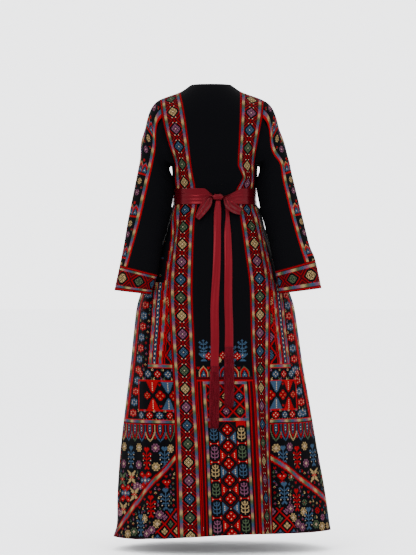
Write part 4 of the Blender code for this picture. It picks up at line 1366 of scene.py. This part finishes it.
def cross_stitch_cloth():
    """Black crepe with cross stitch: four crosses to a block, each two threads over each other."""
    made, tree, shader = nodes_of("embroidered_crepe", linear(CREPE), 0.82, 0.02)
    thread = add_node(tree, "ShaderNodeAttribute", attribute_name="thread")
    place = add_node(tree, "ShaderNodeUVMap", uv_map="stitch")
    split = add_node(tree, "ShaderNodeSeparateXYZ")
    tree.links.new(place.outputs[0], split.inputs[0])
    # In each of a block's crosses, how far a place lies from its two slanting threads
    across, along = (
        math_node(tree, "FRACT", math_node(tree, "MULTIPLY", split.outputs[i], 2.0)) for i in (0, 1)
    )
    one = math_node(tree, "ABSOLUTE", math_node(tree, "SUBTRACT", across, along))
    both = math_node(tree, "ADD", across, along)
    other = math_node(tree, "ABSOLUTE", math_node(tree, "SUBTRACT", both, 1.0))
    nearest = math_node(tree, "MINIMUM", one, math_node(tree, "ADD", other, 0.08))
    cross = math_node(tree, "SUBTRACT", 1.0, math_node(tree, "MULTIPLY", nearest, 2.2))
    cross = math_node(tree, "MAXIMUM", cross, 0.0)
    weave = noise_of(tree, WEAVE)
    patchy = noise_of(tree, WEAR)
    # Thread is darker away from the lines of each cross: painted shade at the threads' edges and between
    # them. The patchy noise is wear.
    groove_shade_and_wear = math_node(tree, "MULTIPLY", line_of(tree, cross, 0.42, 0.66), line_of(tree, patchy, 0.36, 0.86))
    bare = line_of(tree, weave, 0.9, 0.55)
    mixed = add_node(tree, "ShaderNodeMix", data_type="FLOAT")
    tree.links.new(thread.outputs["Alpha"], mixed.inputs["Factor"])
    tree.links.new(bare, mixed.inputs["A"])
    tree.links.new(groove_shade_and_wear, mixed.inputs["B"])
    shaded = scaled(tree, thread.outputs["Color"], mixed.outputs["Result"])
    tree.links.new(shaded, shader.inputs["Base Color"])
    raised = math_node(tree, "MULTIPLY", math_node(tree, "ADD", cross, 0.6), thread.outputs["Alpha"])
    height = math_node(tree, "ADD", raised, math_node(tree, "MULTIPLY", weave, 0.25))
    bumped(tree, shader, height, 0.0006)
    return made


def satin_cloth(name, colour, roughness):
    """Satin or silk thread, with a fine grain along Z and broad soft patches of painted shade."""
    made, tree, shader = nodes_of(name, linear(colour), roughness, 0.32)
    shader.inputs["Specular Tint"].default_value = (*linear((255, 90, 104)), 1)
    tone = add_node(tree, "ShaderNodeRGB")
    tone.outputs[0].default_value = (*linear(colour), 1)
    grain = noise_of(tree, GRAIN, (1, 1, 0.12))
    # Broad soft patches of painted shade over the satin
    patchy = noise_of(tree, SHADING)
    amount = math_node(tree, "MULTIPLY", line_of(tree, patchy, 0.5, 0.75), line_of(tree, grain, 0.3, 0.85))
    tree.links.new(scaled(tree, tone.outputs[0], amount), shader.inputs["Base Color"])
    bumped(tree, shader, grain, 0.0002, 0.6)
    return made


stitched = cross_stitch_cloth()
satin = satin_cloth("burgundy_satin_fine", (52, 2, 7), 0.30)
satin_painted_shade = satin_cloth("burgundy_satin_painted_shade", (36, 1, 4), 0.26)  # painted shade: a darker copy of the same satin, for the band, knot and loops
fringe_thread = satin_cloth("burgundy_fringe_fine", (54, 4, 11), 0.65)


# The dress's panels

CLOSED_SEAM = 0.00004  # left between two pieces that are sewn together
LINE_PLACES = 600  # places along a panel from which the even steps are read
ARCH_PLACES = 80  # and over its shoulder


def fine_rise(angle, z, reach):
    """The solids' folds and the smaller creases."""
    return fold_rise(angle, z, reach) + folds_at(CREASES, angle, z, reach, 0.02, HEM)


def fine_skin(angle, level):
    """The outer face with the smaller creases."""
    return skin(angle, level, fine_rise)


def panel_angles(name, level, shares):
    """Angles at these shares of the way across a panel, for each level."""
    level = np.asarray(level, float)[:, None]
    first, first_turns, last, last_turns = PANELS[name]
    start, end = seam_angle(first, first_turns, level), seam_angle(last, last_turns, level)
    return start + (end - start) * shares, level


def even_levels(name, cell):
    """Levels a block apart along the panel's middle, from the hem up, and their heights."""
    below, above = np.linspace(HEM - ARCH_BASE, 0, LINE_PLACES), np.linspace(0, 1, ARCH_PLACES)
    fine = np.concatenate([below, above[1:]])
    angle, level = panel_angles(name, fine, np.array([0.5]))
    points = fine_skin(angle, level)[:, 0]
    return at_even_steps(fine, points, cell), at_even_steps(points[:, 2], points, cell)


def row_at(heights, z):
    """The row that lies at a height, before the cloth turns over the shoulder."""
    top = int(np.argmax(heights)) + 1
    return int(np.searchsorted(heights[:top], z))


def trimmed(points):
    """Leaves half of a closed seam's gap at the first and last column."""
    points = points.copy()
    points[:, 0] += unit(points[:, 1] - points[:, 0]) * CLOSED_SEAM / 2
    points[:, -1] += unit(points[:, -2] - points[:, -1]) * CLOSED_SEAM / 2
    return points


def settle(piece, node):
    """Names a piece, and lets it ride on the dress in place of its solid."""
    piece.name = "fine_" + node
    piece.data.name = piece.name
    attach(piece, "root")
    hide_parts(node)


def declare_cloth(outer, tube):
    """Measures the cut's length across each row and along each column, and keeps neither."""
    around = np.concatenate([outer, outer[:, :1]], axis=1) if tube else outer
    across, along = along_line(around)[:, -1], along_line(outer.swapaxes(0, 1))[:, -1]


def make_cloth(
    name, outer, ink, cloth=stitched, normal=None, wall=THIN, tube=False, scale=(1, 1),
    step=INNER_STEP, kept=None,
):  # fmt: skip
    """A whole piece of cloth from the points of its outer face and the chart of its blocks."""
    normal = normals_on(outer) if normal is None else normal
    piece = cloth_piece(name, outer, normal, ink, cloth, wall, tube, scale, step, kept)
    settle(piece, name)
    declare_cloth(outer, tube)


# Height of the first rosette below the belt and above it, and where the order of colours starts there.
LOW_ROSETTE = {"left": -0.3655, "right": -0.3655}
HIGH_ROSETTE = {"left": -0.2765, "right": -0.2800}
BAND_SHIFT = {"left": (3, 1), "right": (3, 0)}


def build_band(side, back):
    """A band from the hem over the shoulder, with its rosettes counted from the belt."""
    name = ("back" if back else "front") + "_band_" + side
    levels, heights = even_levels(name, CELL)
    angle, level = panel_angles(name, levels, np.linspace(0, 1, BAND_CELLS + 1))
    outer = trimmed(fine_skin(angle, level))
    places = (LOW_ROSETTE[side], HIGH_ROSETTE[side], (BELT_TOP + BELT_BOTTOM) / 2)
    chart = band_chart(len(levels) - 1, *(row_at(heights, z) for z in places), *BAND_SHIFT[side])
    ink = chart.ink if back == (side == "left") else chart.ink[:, ::-1]
    make_cloth(name, outer, ink, step=(3, 1))


def center_columns(name, count):
    """Shares across a centre panel at even steps, with a point at each corner of the neck."""
    shares = np.linspace(0, 1, count + 1)
    for corner in corner_shares(name):
        shares[np.abs(shares - corner).argmin()] = corner
    return shares


def build_center_back():
    """The centre back, with whole blocks where it is charted and coarser rows above."""
    name = "back_center"
    levels, heights = even_levels(name, CELL)
    plain_from, last = row_at(heights, BACK_PLAIN) + 1, len(levels) - 1
    keep = np.concatenate([np.arange(plain_from), np.arange(plain_from, last, 3), [last]])
    angle, level = panel_angles(name, levels[keep], center_columns(name, CENTER_CELLS))
    rows = len(keep) - 1
    chart = Chart(rows, CENTER_CELLS)
    draw_center(chart, lambda z: row_at(heights, z))
    kept = np.unique(np.concatenate([np.arange(0, plain_from, 6), np.arange(plain_from, rows, 2), [rows]]))
    make_cloth(name, trimmed(fine_skin(angle, level)), chart.ink, kept=kept)


def build_center_front():
    """The plain centre front, in blocks three times as tall."""
    name, columns = "front_center", 32
    levels, _ = even_levels(name, CELL * 3)
    angle, level = panel_angles(name, levels, center_columns(name, columns))
    ink = np.zeros((len(levels) - 1, columns), int)
    make_cloth(name, trimmed(fine_skin(angle, level)), ink, scale=(2, 3), step=(2, 1))


SIDE_INNER = 80  # columns of a side gore's inner face
SIDE_PLACES = 161  # places along each of its rows from which the even steps are read


def build_side(side):
    """A side gore: each half is charted from its band's seam, and the halves meet at the side line."""
    name = "side_" + side
    fine = np.linspace(HEM - ARCH_BASE, YOKE_ROWS[0], LINE_PLACES)
    angle, level = panel_angles(name, fine, np.array([0.5]))
    levels = at_even_steps(fine, fine_skin(angle, level)[:, 0], CELL)
    rows = len(levels) - 1
    # Angles at even distances along each row, from both seams
    angle, level = panel_angles(name, levels, np.linspace(0, 1, SIDE_PLACES))
    course = fine_skin(angle, level)
    distance = along_line(course)
    half = distance[:, -1] / 2
    most = int(math.ceil(half.max() / CELL))
    steps = np.minimum(np.arange(most + 1) * CELL, half[:, None])
    last = np.minimum(np.ceil(half / CELL - 0.25).astype(int), most)
    for r in range(rows + 1):
        steps[r, last[r]] = half[r]
    places = np.concatenate([steps, distance[:, -1:] - steps[:, -2::-1]], axis=1)
    angles = np.array([np.interp(places[r], distance[r], angle[r]) for r in range(rows + 1)])
    outer = trimmed(fine_skin(angles, levels[:, None]))
    # Past its last block, a row's columns are all its point on the side line
    wide = 2 * most + 1
    column = np.arange(wide)
    kept = np.where(np.minimum(column, 2 * most - column) >= last[:, None], most, column)
    for r in range(rows + 1):
        outer[r, most] = outer[r, last[r]]
    normal = normals_on(course)

    chart = Chart(rows, most)
    seam_angles, _ = panel_angles(name, levels, np.array([0.0 if side == "left" else 1.0]))
    seam_heights = fine_skin(seam_angles, levels[:, None])[:, 0, 2]
    draw_side(chart, lambda z: int(np.searchsorted(seam_heights, z)), half / CELL, side)
    ink = np.concatenate([chart.ink, chart.ink[:, ::-1]], axis=1)

    # The mesh: outer blocks, merged where a row is shorter, a coarse inner face, and rims
    ids = np.take_along_axis(np.arange((rows + 1) * wide).reshape(rows + 1, wide), kept, axis=1)
    keep_r = cuts(rows, INNER_STEP[0])
    share_i = np.round(np.linspace(0, SIDE_PLACES - 1, SIDE_INNER + 1)).astype(int)
    inner = (course - THIN * normal)[np.ix_(keep_r, share_i)]
    behind = (rows + 1) * wide + np.arange(inner.shape[0] * inner.shape[1]).reshape(inner.shape[:2])
    points = np.concatenate([outer.reshape(-1, 3), inner.reshape(-1, 3)])
    faces, stitch, bake, inks = [], [], [], []
    for r in range(rows):
        low, high = ids[r], ids[r + 1]
        for c in range(2 * most):
            corners = ((r, c), (r, c + 1), (r + 1, c + 1), (r + 1, c))
            found = (low[c], low[c + 1], high[c + 1], high[c])
            face, spots = [], []
            for vertex, spot in zip(found, corners):
                if vertex not in face:
                    face.append(int(vertex))
                    spots.append(spot)
            if len(face) < 3:
                continue
            faces.append(face)
            inks += [ink[r, c]] * len(face)
            for y, x in spots:
                stitch.append((x, y))
                bake.append((x / (2 * most) * OUTER_WIDE, y / rows * MAP_TALL))
    loops = len(inks)
    for i in range(len(keep_r) - 1):
        for j in range(SIDE_INNER):
            corners = ((i, j), (i + 1, j), (i + 1, j + 1), (i, j + 1))
            faces.append([int(behind[corner]) for corner in corners])
            for y, x in corners:
                bake.append((INNER_LEFT + x / SIDE_INNER * INNER_WIDE, keep_r[y] / rows * MAP_TALL))

    def rim(edge, behind_edge):
        unique = [int(edge[0])]
        for vertex in edge[1:]:
            if vertex != unique[-1]:
                unique.append(int(vertex))
        at = np.round(np.linspace(0, len(unique) - 1, len(behind_edge))).astype(int)
        for i in range(len(behind_edge) - 1):
            run = unique[at[i] : at[i + 1] + 1] + [int(behind_edge[i + 1]), int(behind_edge[i])]
            faces.append(run)
            bake.extend(rim_places(len(run), i / len(behind_edge)))

    rim(ids[0, ::-1], behind[0, ::-1])
    rim(ids[-1], behind[-1])
    rim(ids[:, 0], behind[:, 0])
    rim(ids[::-1, -1], behind[::-1, -1])
    rest = len(bake) - loops
    stitch = np.concatenate([np.array(stitch, float), np.zeros((rest, 2))])
    colours = np.concatenate([INKS[np.array(inks)], np.repeat(INKS[:1], rest, axis=0)])
    used = np.unique(np.concatenate([np.array(f) for f in faces]))
    new = np.zeros(len(points), int)
    new[used] = np.arange(len(used))
    faces = [[int(new[v]) for v in face] for face in faces]
    piece = make_object(name, points[used], faces, colours, stitch, np.array(bake), stitched)
    settle(piece, name)
    declare_cloth(course, False)


# The sleeves

ARMHOLE = len(YOKE_ROWS) - 1  # points down each edge of the armhole
SIDE_COLUMNS = 14  # and along its lower edge
COUNT = 2 * ARMHOLE + SIDE_COLUMNS
PLAIN_PLACE = 14.0  # the point of the armhole from which the plain cloth's rows are measured
SLEEVE_PLACES = 300  # places along the sleeve from which the even steps are read
RING_STEP = 0.085  # metres from ring to ring, for the creases
POINT_STEP = 0.0125  # and from point to point round the sleeve


def ring_points(rows, i, angle):
    """A point of the sleeve's ring i at an angle from its outer edge, towards the back."""
    outer = np.stack([rows["outer_x"][i], rows["y"][i], rows["outer_z"][i]], -1)
    inner = np.stack([rows["inner_x"][i], rows["y"][i], rows["inner_z"][i]], -1)
    middle, across = (outer + inner) / 2, (outer - inner) / 2
    back = np.array([0, rows["deep"][i], 0])
    return middle + across * np.cos(angle)[:, None] + back * np.sin(angle)[:, None]


def hole_at(side, at):
    """The armhole's outer points at places counted in points from the shoulder, backwards first."""
    turns = (0, 1) if side == "left" else (2, 1)
    seam = side + "_outer"
    at = np.mod(at, COUNT)
    steps = np.arange(ARMHOLE + 1)
    back_level = np.interp(at, steps, YOKE_ROWS[::-1])
    front_level = np.interp(at, steps + ARMHOLE + SIDE_COLUMNS, YOKE_ROWS)
    ahead = np.where(at >= ARMHOLE + SIDE_COLUMNS, front_level, YOKE_ROWS[0])
    level = np.where(at <= ARMHOLE, back_level, ahead)
    back = seam_angle(seam, turns[0], level)
    front = seam_angle(seam, turns[1], level)
    share = np.clip((at - ARMHOLE) / SIDE_COLUMNS, 0, 1)
    return fine_skin(back + (front - back) * share, level)


def sleeve_rings(side, at):
    """The armhole and the sleeve's rings at these places round it."""
    rows = SLEEVES[side]
    rings = [hole_at(side, at)]
    lowest = ARMHOLE + SIDE_COLUMNS // 2
    at = np.mod(at, COUNT)
    for i in range(len(rows["y"])):
        rear = math.radians(rows["strip"][i])
        known = (0, STRIP_BEHIND, lowest, COUNT - STRIP_AHEAD, COUNT)
        front = rear - SLEEVE_STRIP_ARC
        top = front + STRIP_AHEAD / (STRIP_AHEAD + STRIP_BEHIND) * SLEEVE_STRIP_ARC
        angles = (top, rear, math.pi, 2 * math.pi + front, 2 * math.pi + top)
        rings.append(ring_points(rows, i, np.interp(at, known, angles)))
    rings = np.array(rings)
    outward = np.array([1.0 if side == "left" else -1.0, 0, 0])
    high = np.clip((rings[0][:, 2:] - ARM_LEVEL) / (-ARM_LEVEL), 0, 1)
    tangents = np.gradient(rings, axis=0)
    head = outward * SLEEVE_HEAD_OUT + np.array([0, 0, SLEEVE_HEAD_UP])
    tangents[0] = rings[1] - rings[0] + head * high
    return rings, tangents


def sleeve_surface(side, along, at):
    """The sleeve's outer points: rows at these places along it, columns at these places round it."""
    rings, tangents = sleeve_rings(side, at)
    i = np.clip(np.floor(along).astype(int), 0, len(rings) - 2)
    t = (along - i)[:, None, None]
    points = (1 + 2 * t) * (1 - t) ** 2 * rings[i] + t * (1 - t) ** 2 * tangents[i]
    points = points + t * t * (3 - 2 * t) * rings[i + 1] + t * t * (t - 1) * tangents[i + 1]
    down = np.gradient(points, axis=0)
    around = np.gradient(points, axis=1)
    normal = unit(np.cross(down, around))
    core = sleeve_rings(side, np.arange(0, COUNT, 2.0))[0].mean(1)
    core = core[i] * (1 - t[:, 0]) + core[i + 1] * t[:, 0]
    normal = normal * np.sign((normal * (points - core[:, None])).sum())
    rise = np.zeros(points.shape[:2])
    for k in range(len(SLEEVE_CREASES["along"])):
        crease = {name: column[k] for name, column in SLEEVE_CREASES.items()}
        length = (along[:, None] - crease["along"]) * RING_STEP
        width = (at[None] - crease["round"]) * POINT_STEP
        turn = crease["turn"]
        lengthwise = length * math.cos(turn) + width * math.sin(turn)
        sideways = width * math.cos(turn) - length * math.sin(turn)
        off = (lengthwise / crease["long"]) ** 2 + (sideways / crease["wide"]) ** 2
        rise = rise + crease["rise"] * np.exp(-off)
    ends = np.clip(along / 0.4, 0, 1) * np.clip((CUFF_RING + 0.05 - along) / 0.4, 0, 1)
    return points + (rise * ends[:, None])[..., None] * normal, normal


def even_along(side, start, end, at, cell):
    """Places along the sleeve from ring to ring that lie a block apart."""
    fine = np.linspace(start, end, SLEEVE_PLACES)
    line = sleeve_surface(side, fine, np.array([at - 0.05, at, at + 0.05]))[0][:, 1]
    return at_even_steps(fine, line, cell)


def shortened(points):
    """Leaves half a seam's gap at the first and last row."""
    return trimmed(points.swapaxes(0, 1)).swapaxes(0, 1)


SLEEVE_COLUMNS = 96


def build_sleeve(side):
    """The sleeve's plain cloth, the strip let in down its outer side, and the cuff band."""
    along = even_along(side, 0, CUFF_RING, PLAIN_PLACE, 0.0050)
    at = np.linspace(STRIP_BEHIND, COUNT - STRIP_AHEAD, SLEEVE_COLUMNS + 1)
    outer, normal = sleeve_surface(side, along, at)
    ink = np.zeros((len(along) - 1, SLEEVE_COLUMNS), int)
    whole = shortened(trimmed(outer))
    make_cloth("sleeve_" + side, whole, ink, normal=normal, scale=(1.4, 1.8), step=(2, 1))

    along = even_along(side, 0, CUFF_RING, 1.0, CELL)
    at = np.linspace(-STRIP_AHEAD, STRIP_BEHIND, STRIP_CELLS + 1)
    outer, normal = sleeve_surface(side, along, at)
    ink = strip_chart(len(along) - 1).ink[::-1]
    ink = ink if side == "left" else ink[:, ::-1]
    make_cloth("sleeve_strip_" + side, shortened(trimmed(outer)), ink, normal=normal)

    along = even_along(side, CUFF_RING, len(SLEEVES[side]["y"]), PLAIN_PLACE, CELL)
    at = np.arange(CUFF_CELLS) / CUFF_CELLS * COUNT
    outer, normal = sleeve_surface(side, along, at)
    rows = len(along) - 1
    band = band_chart(CUFF_CELLS, 10, 10, 0, 1, 1).ink
    ink = band[:, ((np.arange(rows) + 0.5) / rows * BAND_CELLS).astype(int)].T[::-1]
    make_cloth("cuff_" + side, shortened(outer), ink, normal=normal, tube=True)


# The sash


def belt_edges(x, y):
    """Heights of the band's upper and lower edge, and how far it has drawn in to the knot."""
    side = np.where(x > KNOT["x"], "left", "right")
    over, knot_top, knot_bottom = (
        np.array([BELT_AT_KNOT[s][name] for s in side]) for name in ("over", "top", "bottom")
    )
    near = np.clip(1 - (np.abs(x - KNOT["x"]) - KNOT["wide"] / 2) / over, 0, 1)
    ease = np.where(y > 0, near * near * (3 - 2 * near), 0)
    return BELT_TOP + (knot_top - BELT_TOP) * ease, BELT_BOTTOM + (knot_bottom - BELT_BOTTOM) * ease, ease


def depth_of(surface, x, z, rounds=5):
    """How far back a cloth lies at a place behind the wearer."""
    x, z = np.broadcast_arrays(np.asarray(x, float), np.asarray(z, float))
    angle = angle_at(x, z, 0)
    for _ in range(rounds):
        point = surface(angle, z - ARCH_BASE)
        angle = angle + (x - point[..., 0]) / np.maximum(outline(angle, z)[2], 0.05)
    return surface(angle, z - ARCH_BASE)[..., 1]


# Soft creases along the band: each one's place and width as shares of the band's height, how far it
# wanders from there, how often it does so round the waist and from which angle, and its rise
BELT_FOLDS = (
    dict(share=0.22, drift=0.05, turns=2, start=0.4, wide=0.070, rise=0.0012),
    dict(share=0.47, drift=0.08, turns=1, start=2.0, wide=0.080, rise=0.0014),
    dict(share=0.74, drift=0.06, turns=2, start=1.1, wide=0.070, rise=0.0011),
    dict(share=0.60, drift=0.10, turns=3, start=4.0, wide=0.030, rise=-0.0006),
)
BELT_ROWS = 28
BELT_COLUMNS = 360


def build_belt():
    """The sash's band round the waist, drawn in to the knot behind."""
    middle = (BELT_TOP + BELT_BOTTOM) / 2
    at_knot = float(angle_at(KNOT["x"], middle, 0))
    half = KNOT["wide"] * BELT_UNDER / float(body["back"](middle))
    angle = np.linspace(at_knot + half, at_knot - half + 2 * math.pi, BELT_COLUMNS + 1)
    x, y, _ = outline(angle, np.full_like(angle, middle))
    top, bottom, ease = belt_edges(x, y)
    share = np.linspace(0, 1, BELT_ROWS + 1)[:, None]
    z = bottom + (top - bottom) * share
    base = fine_skin(angle[None], z - ARCH_BASE)
    normal = normals_on(base)
    soft = 0
    for fold in BELT_FOLDS:
        off = share - fold["share"] - fold["drift"] * np.sin(angle * fold["turns"] + fold["start"])
        soft = soft + fold["rise"] * np.exp(-((off / fold["wide"]) ** 2))
    pleats = BELT_PLEAT * ease * (1 + np.cos(share * 6 * math.pi))
    edge = np.minimum(share, 1 - share) / 0.08
    lift = LIFT + SATIN + 0.0006 + pleats + soft * np.clip(edge, 0, 1)
    outer = base + lift[..., None] * normal
    ink = np.zeros((BELT_ROWS, BELT_COLUMNS), int)
    make_cloth("sash_band", outer, ink, satin_painted_shade, wall=SATIN, step=(2, 2))


def build_knot():
    """The knot: a soft lump with the sash's turn drawn over its middle and creases running into it."""
    rings, around = 48, 72
    back = float(depth_of(skin, KNOT["x"], KNOT["z"], rounds=4))
    polar = np.linspace(0.02, math.pi - 0.02, rings)[:, None]
    turn = np.linspace(0, 2 * math.pi, around, endpoint=False)[None]
    across = np.cos(polar) * np.ones_like(turn)
    out, up = np.sin(polar) * np.cos(turn), np.sin(polar) * np.sin(turn)
    waist = 1 - KNOT["nipped"] * np.exp(-((across / KNOT["turn"]) ** 2))
    ripple = 0.075 * np.sin(turn * 8 + across * 2.5) * np.abs(across) ** 0.5 * np.sin(polar)
    band = 0.07 * np.exp(-((across / 0.30) ** 6)) * (1 + 0.6 * np.cos(across * 24 + 0.8 * np.sin(turn)))
    size = waist * (1 + ripple + band - 0.02)
    points = np.stack(
        [
            KNOT["x"] + across * KNOT["wide"] / 2,
            back + KNOT["lift"] + KNOT["deep"] / 2 * (1 - KNOT["nipped"] + out * size),
            KNOT["z"] + up * size * KNOT["tall"] / 2,
        ],
        -1,
    )
    grid = np.arange(rings * around).reshape(rings, around)
    grid = np.concatenate([grid, grid[:, :1]], axis=1)
    faces = np.stack([grid[:-1, :-1], grid[:-1, 1:], grid[1:, 1:], grid[1:, :-1]], -1).reshape(-1, 4)
    faces = faces[:, ::-1].tolist() + [grid[0, :-1].tolist(), grid[-1, :-1][::-1].tolist()]
    made = smooth_object("sash_knot", points, faces, satin_painted_shade)
    settle(made, "sash_knot")


def build_loop(side):
    """A loop of the bow: the ribbon runs out to its tip and back, with creases from the knot."""
    rows = LOOPS[side]
    count, lines = 40, 17  # points from the knot to the tip, and across the ribbon
    order = np.arange(len(rows["x"]), dtype=float)
    place = np.linspace(0, len(order) - 1, count)
    smooth = {name: curve(dict(at=order, **{name: rows[name]}), name, at="at")(place) for name in rows}
    ahead = unit(np.stack([np.gradient(smooth["x"]), np.gradient(smooth["z"])], -1))
    there = np.arange(count)
    both = np.concatenate([there, there[::-1]])
    layer = np.repeat([1.0, -1.0], count)
    near_knot = 0.25 + 0.75 * np.clip(1 - place / 5, 0, 1)[both]
    share = np.linspace(-1, 1, lines)[:, None]
    reach = smooth["wide"][both] * share
    x = smooth["x"][both] + ahead[both, 1] * reach
    z = smooth["z"][both] - ahead[both, 0] * reach
    creases = 0.0026 * np.sin(share * 7 + 1.2 + place[both] * 0.35) * near_knot * (layer > 0)
    creases = creases + 0.0011 * np.sin(share * 15 - place[both] * 0.5) * near_knot
    end = np.sqrt(np.clip(1 - ((place - 2.5) / 2.5) ** 8, 0.03, 1))[both]
    out = smooth["lift"][both] + layer * smooth["deep"][both] * end + creases * end
    y = depth_of(fine_skin, x, z) + out
    outer = np.stack([x, y, z], -1)
    around = np.roll(outer, -1, axis=1) - np.roll(outer, 1, axis=1)
    normal = unit(np.cross(np.gradient(outer, axis=0), around))
    normal *= np.sign((normal * (outer - outer.mean(1, keepdims=True))).sum())
    ink = np.zeros((lines - 1, 2 * count), int)
    make_cloth(
        "sash_loop_" + side, outer, ink, satin_painted_shade, normal, wall=0.0008, tube=True,
        step=(1, 1),
    )  # fmt: skip


def build_tail(side):
    """A tail: the ribbon hangs from the knot, arched a little across, with soft waves."""
    rows = TAILS[side]
    shares = np.linspace(-0.5, 0.5, 21)
    heights = np.linspace(rows["z"][0], rows["z"][-1], 130)
    x = curve(rows, "x")(heights)[:, None] + shares * curve(rows, "wide")(heights)[:, None]
    z = np.repeat(heights[:, None], len(shares), axis=1)
    low = np.clip((heights - rows["z"][0]) / 0.1, 0, 1)[:, None]
    near = np.clip((heights - rows["z"][-1] + 0.12) / 0.12, 0, 1)[:, None]
    wave = 0.0007 * np.cos(shares * 5 + heights[:, None] * 9) * low
    wave = wave + 0.0011 * near * np.cos(shares * 16)
    x = x + 0.0011 * np.sin(heights * 26)[:, None] * low
    lift = curve(rows, "lift")(heights)[:, None] + SATIN + 0.0016 * np.cos(shares * math.pi)
    y = depth_of(fine_skin, x, z) + lift + np.abs(wave)
    outer = np.stack([x, y, z], -1)
    ink = np.zeros((len(heights) - 1, len(shares) - 1), int)
    make_cloth("sash_tail_" + side, outer, ink, satin, wall=0.0009, step=(2, 1))


STRANDS = 124  # in each fringe
STRAND_SEGMENTS = 18
STRAND_SIDES = 3
STRAND_TOP, STRAND_END = 0.00088, 0.00060  # its radius at both ends
INTO_TAIL = 0.004  # how far the strands start over the tail's end


def build_fringe(side):
    """Twisted silk strands hanging from the tail's end."""
    top, bottom, x_top, x_bottom = FRINGES[side]
    rng = np.random.default_rng(7 if side == "left" else 11)
    across = (np.arange(STRANDS) * 0.6180339 % 1) - 0.5
    out = np.arange(STRANDS) / STRANDS
    length = (top - bottom) * (1 - 0.10 * rng.random(STRANDS))
    t = np.linspace(0, 1, STRAND_SEGMENTS + 1)[:, None]
    z = top + INTO_TAIL - t * (length + INTO_TAIL)
    clump = np.sin(across * 40) * 0.0016 * t
    swing = t * (9 + 5 * rng.random(STRANDS)) + rng.random(STRANDS) * 6
    sway = 0.0011 * np.sin(swing) * np.minimum(t * 4, 1)
    spread = across * FRINGE_WIDE * (0.82 + 0.2 * np.sin(t * 3.0))
    x = x_top + (x_bottom - x_top) * t + spread + sway + clump
    depth = out * FRINGE_DEEP * 0.95 + 0.0008 * np.sin(t * 14 + rng.random(STRANDS) * 6)
    y = depth_of(fine_skin, x, z) + 0.0014 + depth
    radius = STRAND_TOP - (STRAND_TOP - STRAND_END) * t
    twist = t * 30 + rng.random(STRANDS) * 6
    points, faces = [], []
    for k in range(STRAND_SIDES):
        angle = twist + 2 * math.pi * k / STRAND_SIDES
        points.append(np.stack([x + radius * np.cos(angle), y + radius * np.sin(angle), z], -1))
    points = np.array(points)  # side of the strand, segment, strand, place
    index = np.arange(points[..., 0].size).reshape(points.shape[:3])
    for a, b in zip(index, np.roll(index, -1, axis=0)):
        faces += np.stack([a[:-1], b[:-1], b[1:], a[1:]], -1).reshape(-1, 4).tolist()
    faces += index[::-1, 0].T.tolist() + index[:, -1].T.tolist()
    made = smooth_object("sash_fringe_" + side, points, faces, fringe_thread)
    settle(made, "sash_fringe_" + side)


for side in ("left", "right"):
    build_band(side, True)
    build_band(side, False)
    build_side(side)
    build_sleeve(side)
    build_loop(side)
    build_tail(side)
    build_fringe(side)
build_center_back()
build_center_front()
build_belt()
build_knot()


# The room: a wide pale floor, soft light, and the photo's camera

FLOOR = -1.474
FLOOR_REACH = 60.0
CAMERA_LENS = 157.7
CAMERA_PLACE = (0.00987, 8.0, -0.584)
WORLD_STRENGTH = 3.5


def build_floor():
    """A wide round floor of pale paper."""
    sides = 96
    points = [
        (FLOOR_REACH * math.cos(turn), FLOOR_REACH * math.sin(turn), FLOOR)
        for turn in (2 * math.pi * i / sides for i in range(sides))
    ]
    mesh = bpy.data.meshes.new("floor")
    mesh.from_pydata(points, [], [list(range(sides))])
    paper = bpy.data.materials.new("floor_paper")
    paper.use_nodes = True
    shader = paper.node_tree.nodes["Principled BSDF"]
    shader.inputs["Base Color"].default_value = (0.94, 0.94, 0.95, 1)
    shader.inputs["Roughness"].default_value = 0.75
    shader.inputs["Specular IOR Level"].default_value = 0.25
    mesh.materials.append(paper)
    return placed("floor", mesh)


def area_light(name, place, target, size, power):
    """A soft light that looks from a place at a target."""
    light = bpy.data.lights.new(name, "AREA")
    light.shape = "RECTANGLE"
    light.size, light.size_y = size
    light.energy = power
    made = placed(name, light)
    made.location = place
    away = np.array(place) - np.array(target)
    tilt, turn = math.acos(away[2] / np.linalg.norm(away)), math.atan2(away[1], away[0])
    made.rotation_euler = (tilt, 0, turn + math.pi / 2)
    return made


floor = build_floor()
lights = [
    area_light("key", (2.2, 4.2, 1.6), (0, 0, -0.6), (1.6, 1.6), 110),
    area_light("fill", (-2.8, 4.0, 0.8), (0, 0, -0.7), (2.4, 2.8), 50),
    area_light("top", (0, 0.5, 3.0), (0, 0, -0.6), (3.0, 3.0), 40),
]

world = bpy.data.worlds.new("soft")
world.use_nodes = True
world.node_tree.nodes["Background"].inputs["Color"].default_value = (0.98, 0.98, 1.0, 1)
world.node_tree.nodes["Background"].inputs["Strength"].default_value = WORLD_STRENGTH
bpy.context.scene.world = world

camera_data = bpy.data.cameras.new("camera")
camera_data.lens = CAMERA_LENS
camera = placed("camera", camera_data)
camera.location = CAMERA_PLACE
camera.rotation_euler = (math.pi / 2, 0, math.pi)
bpy.context.scene.camera = camera
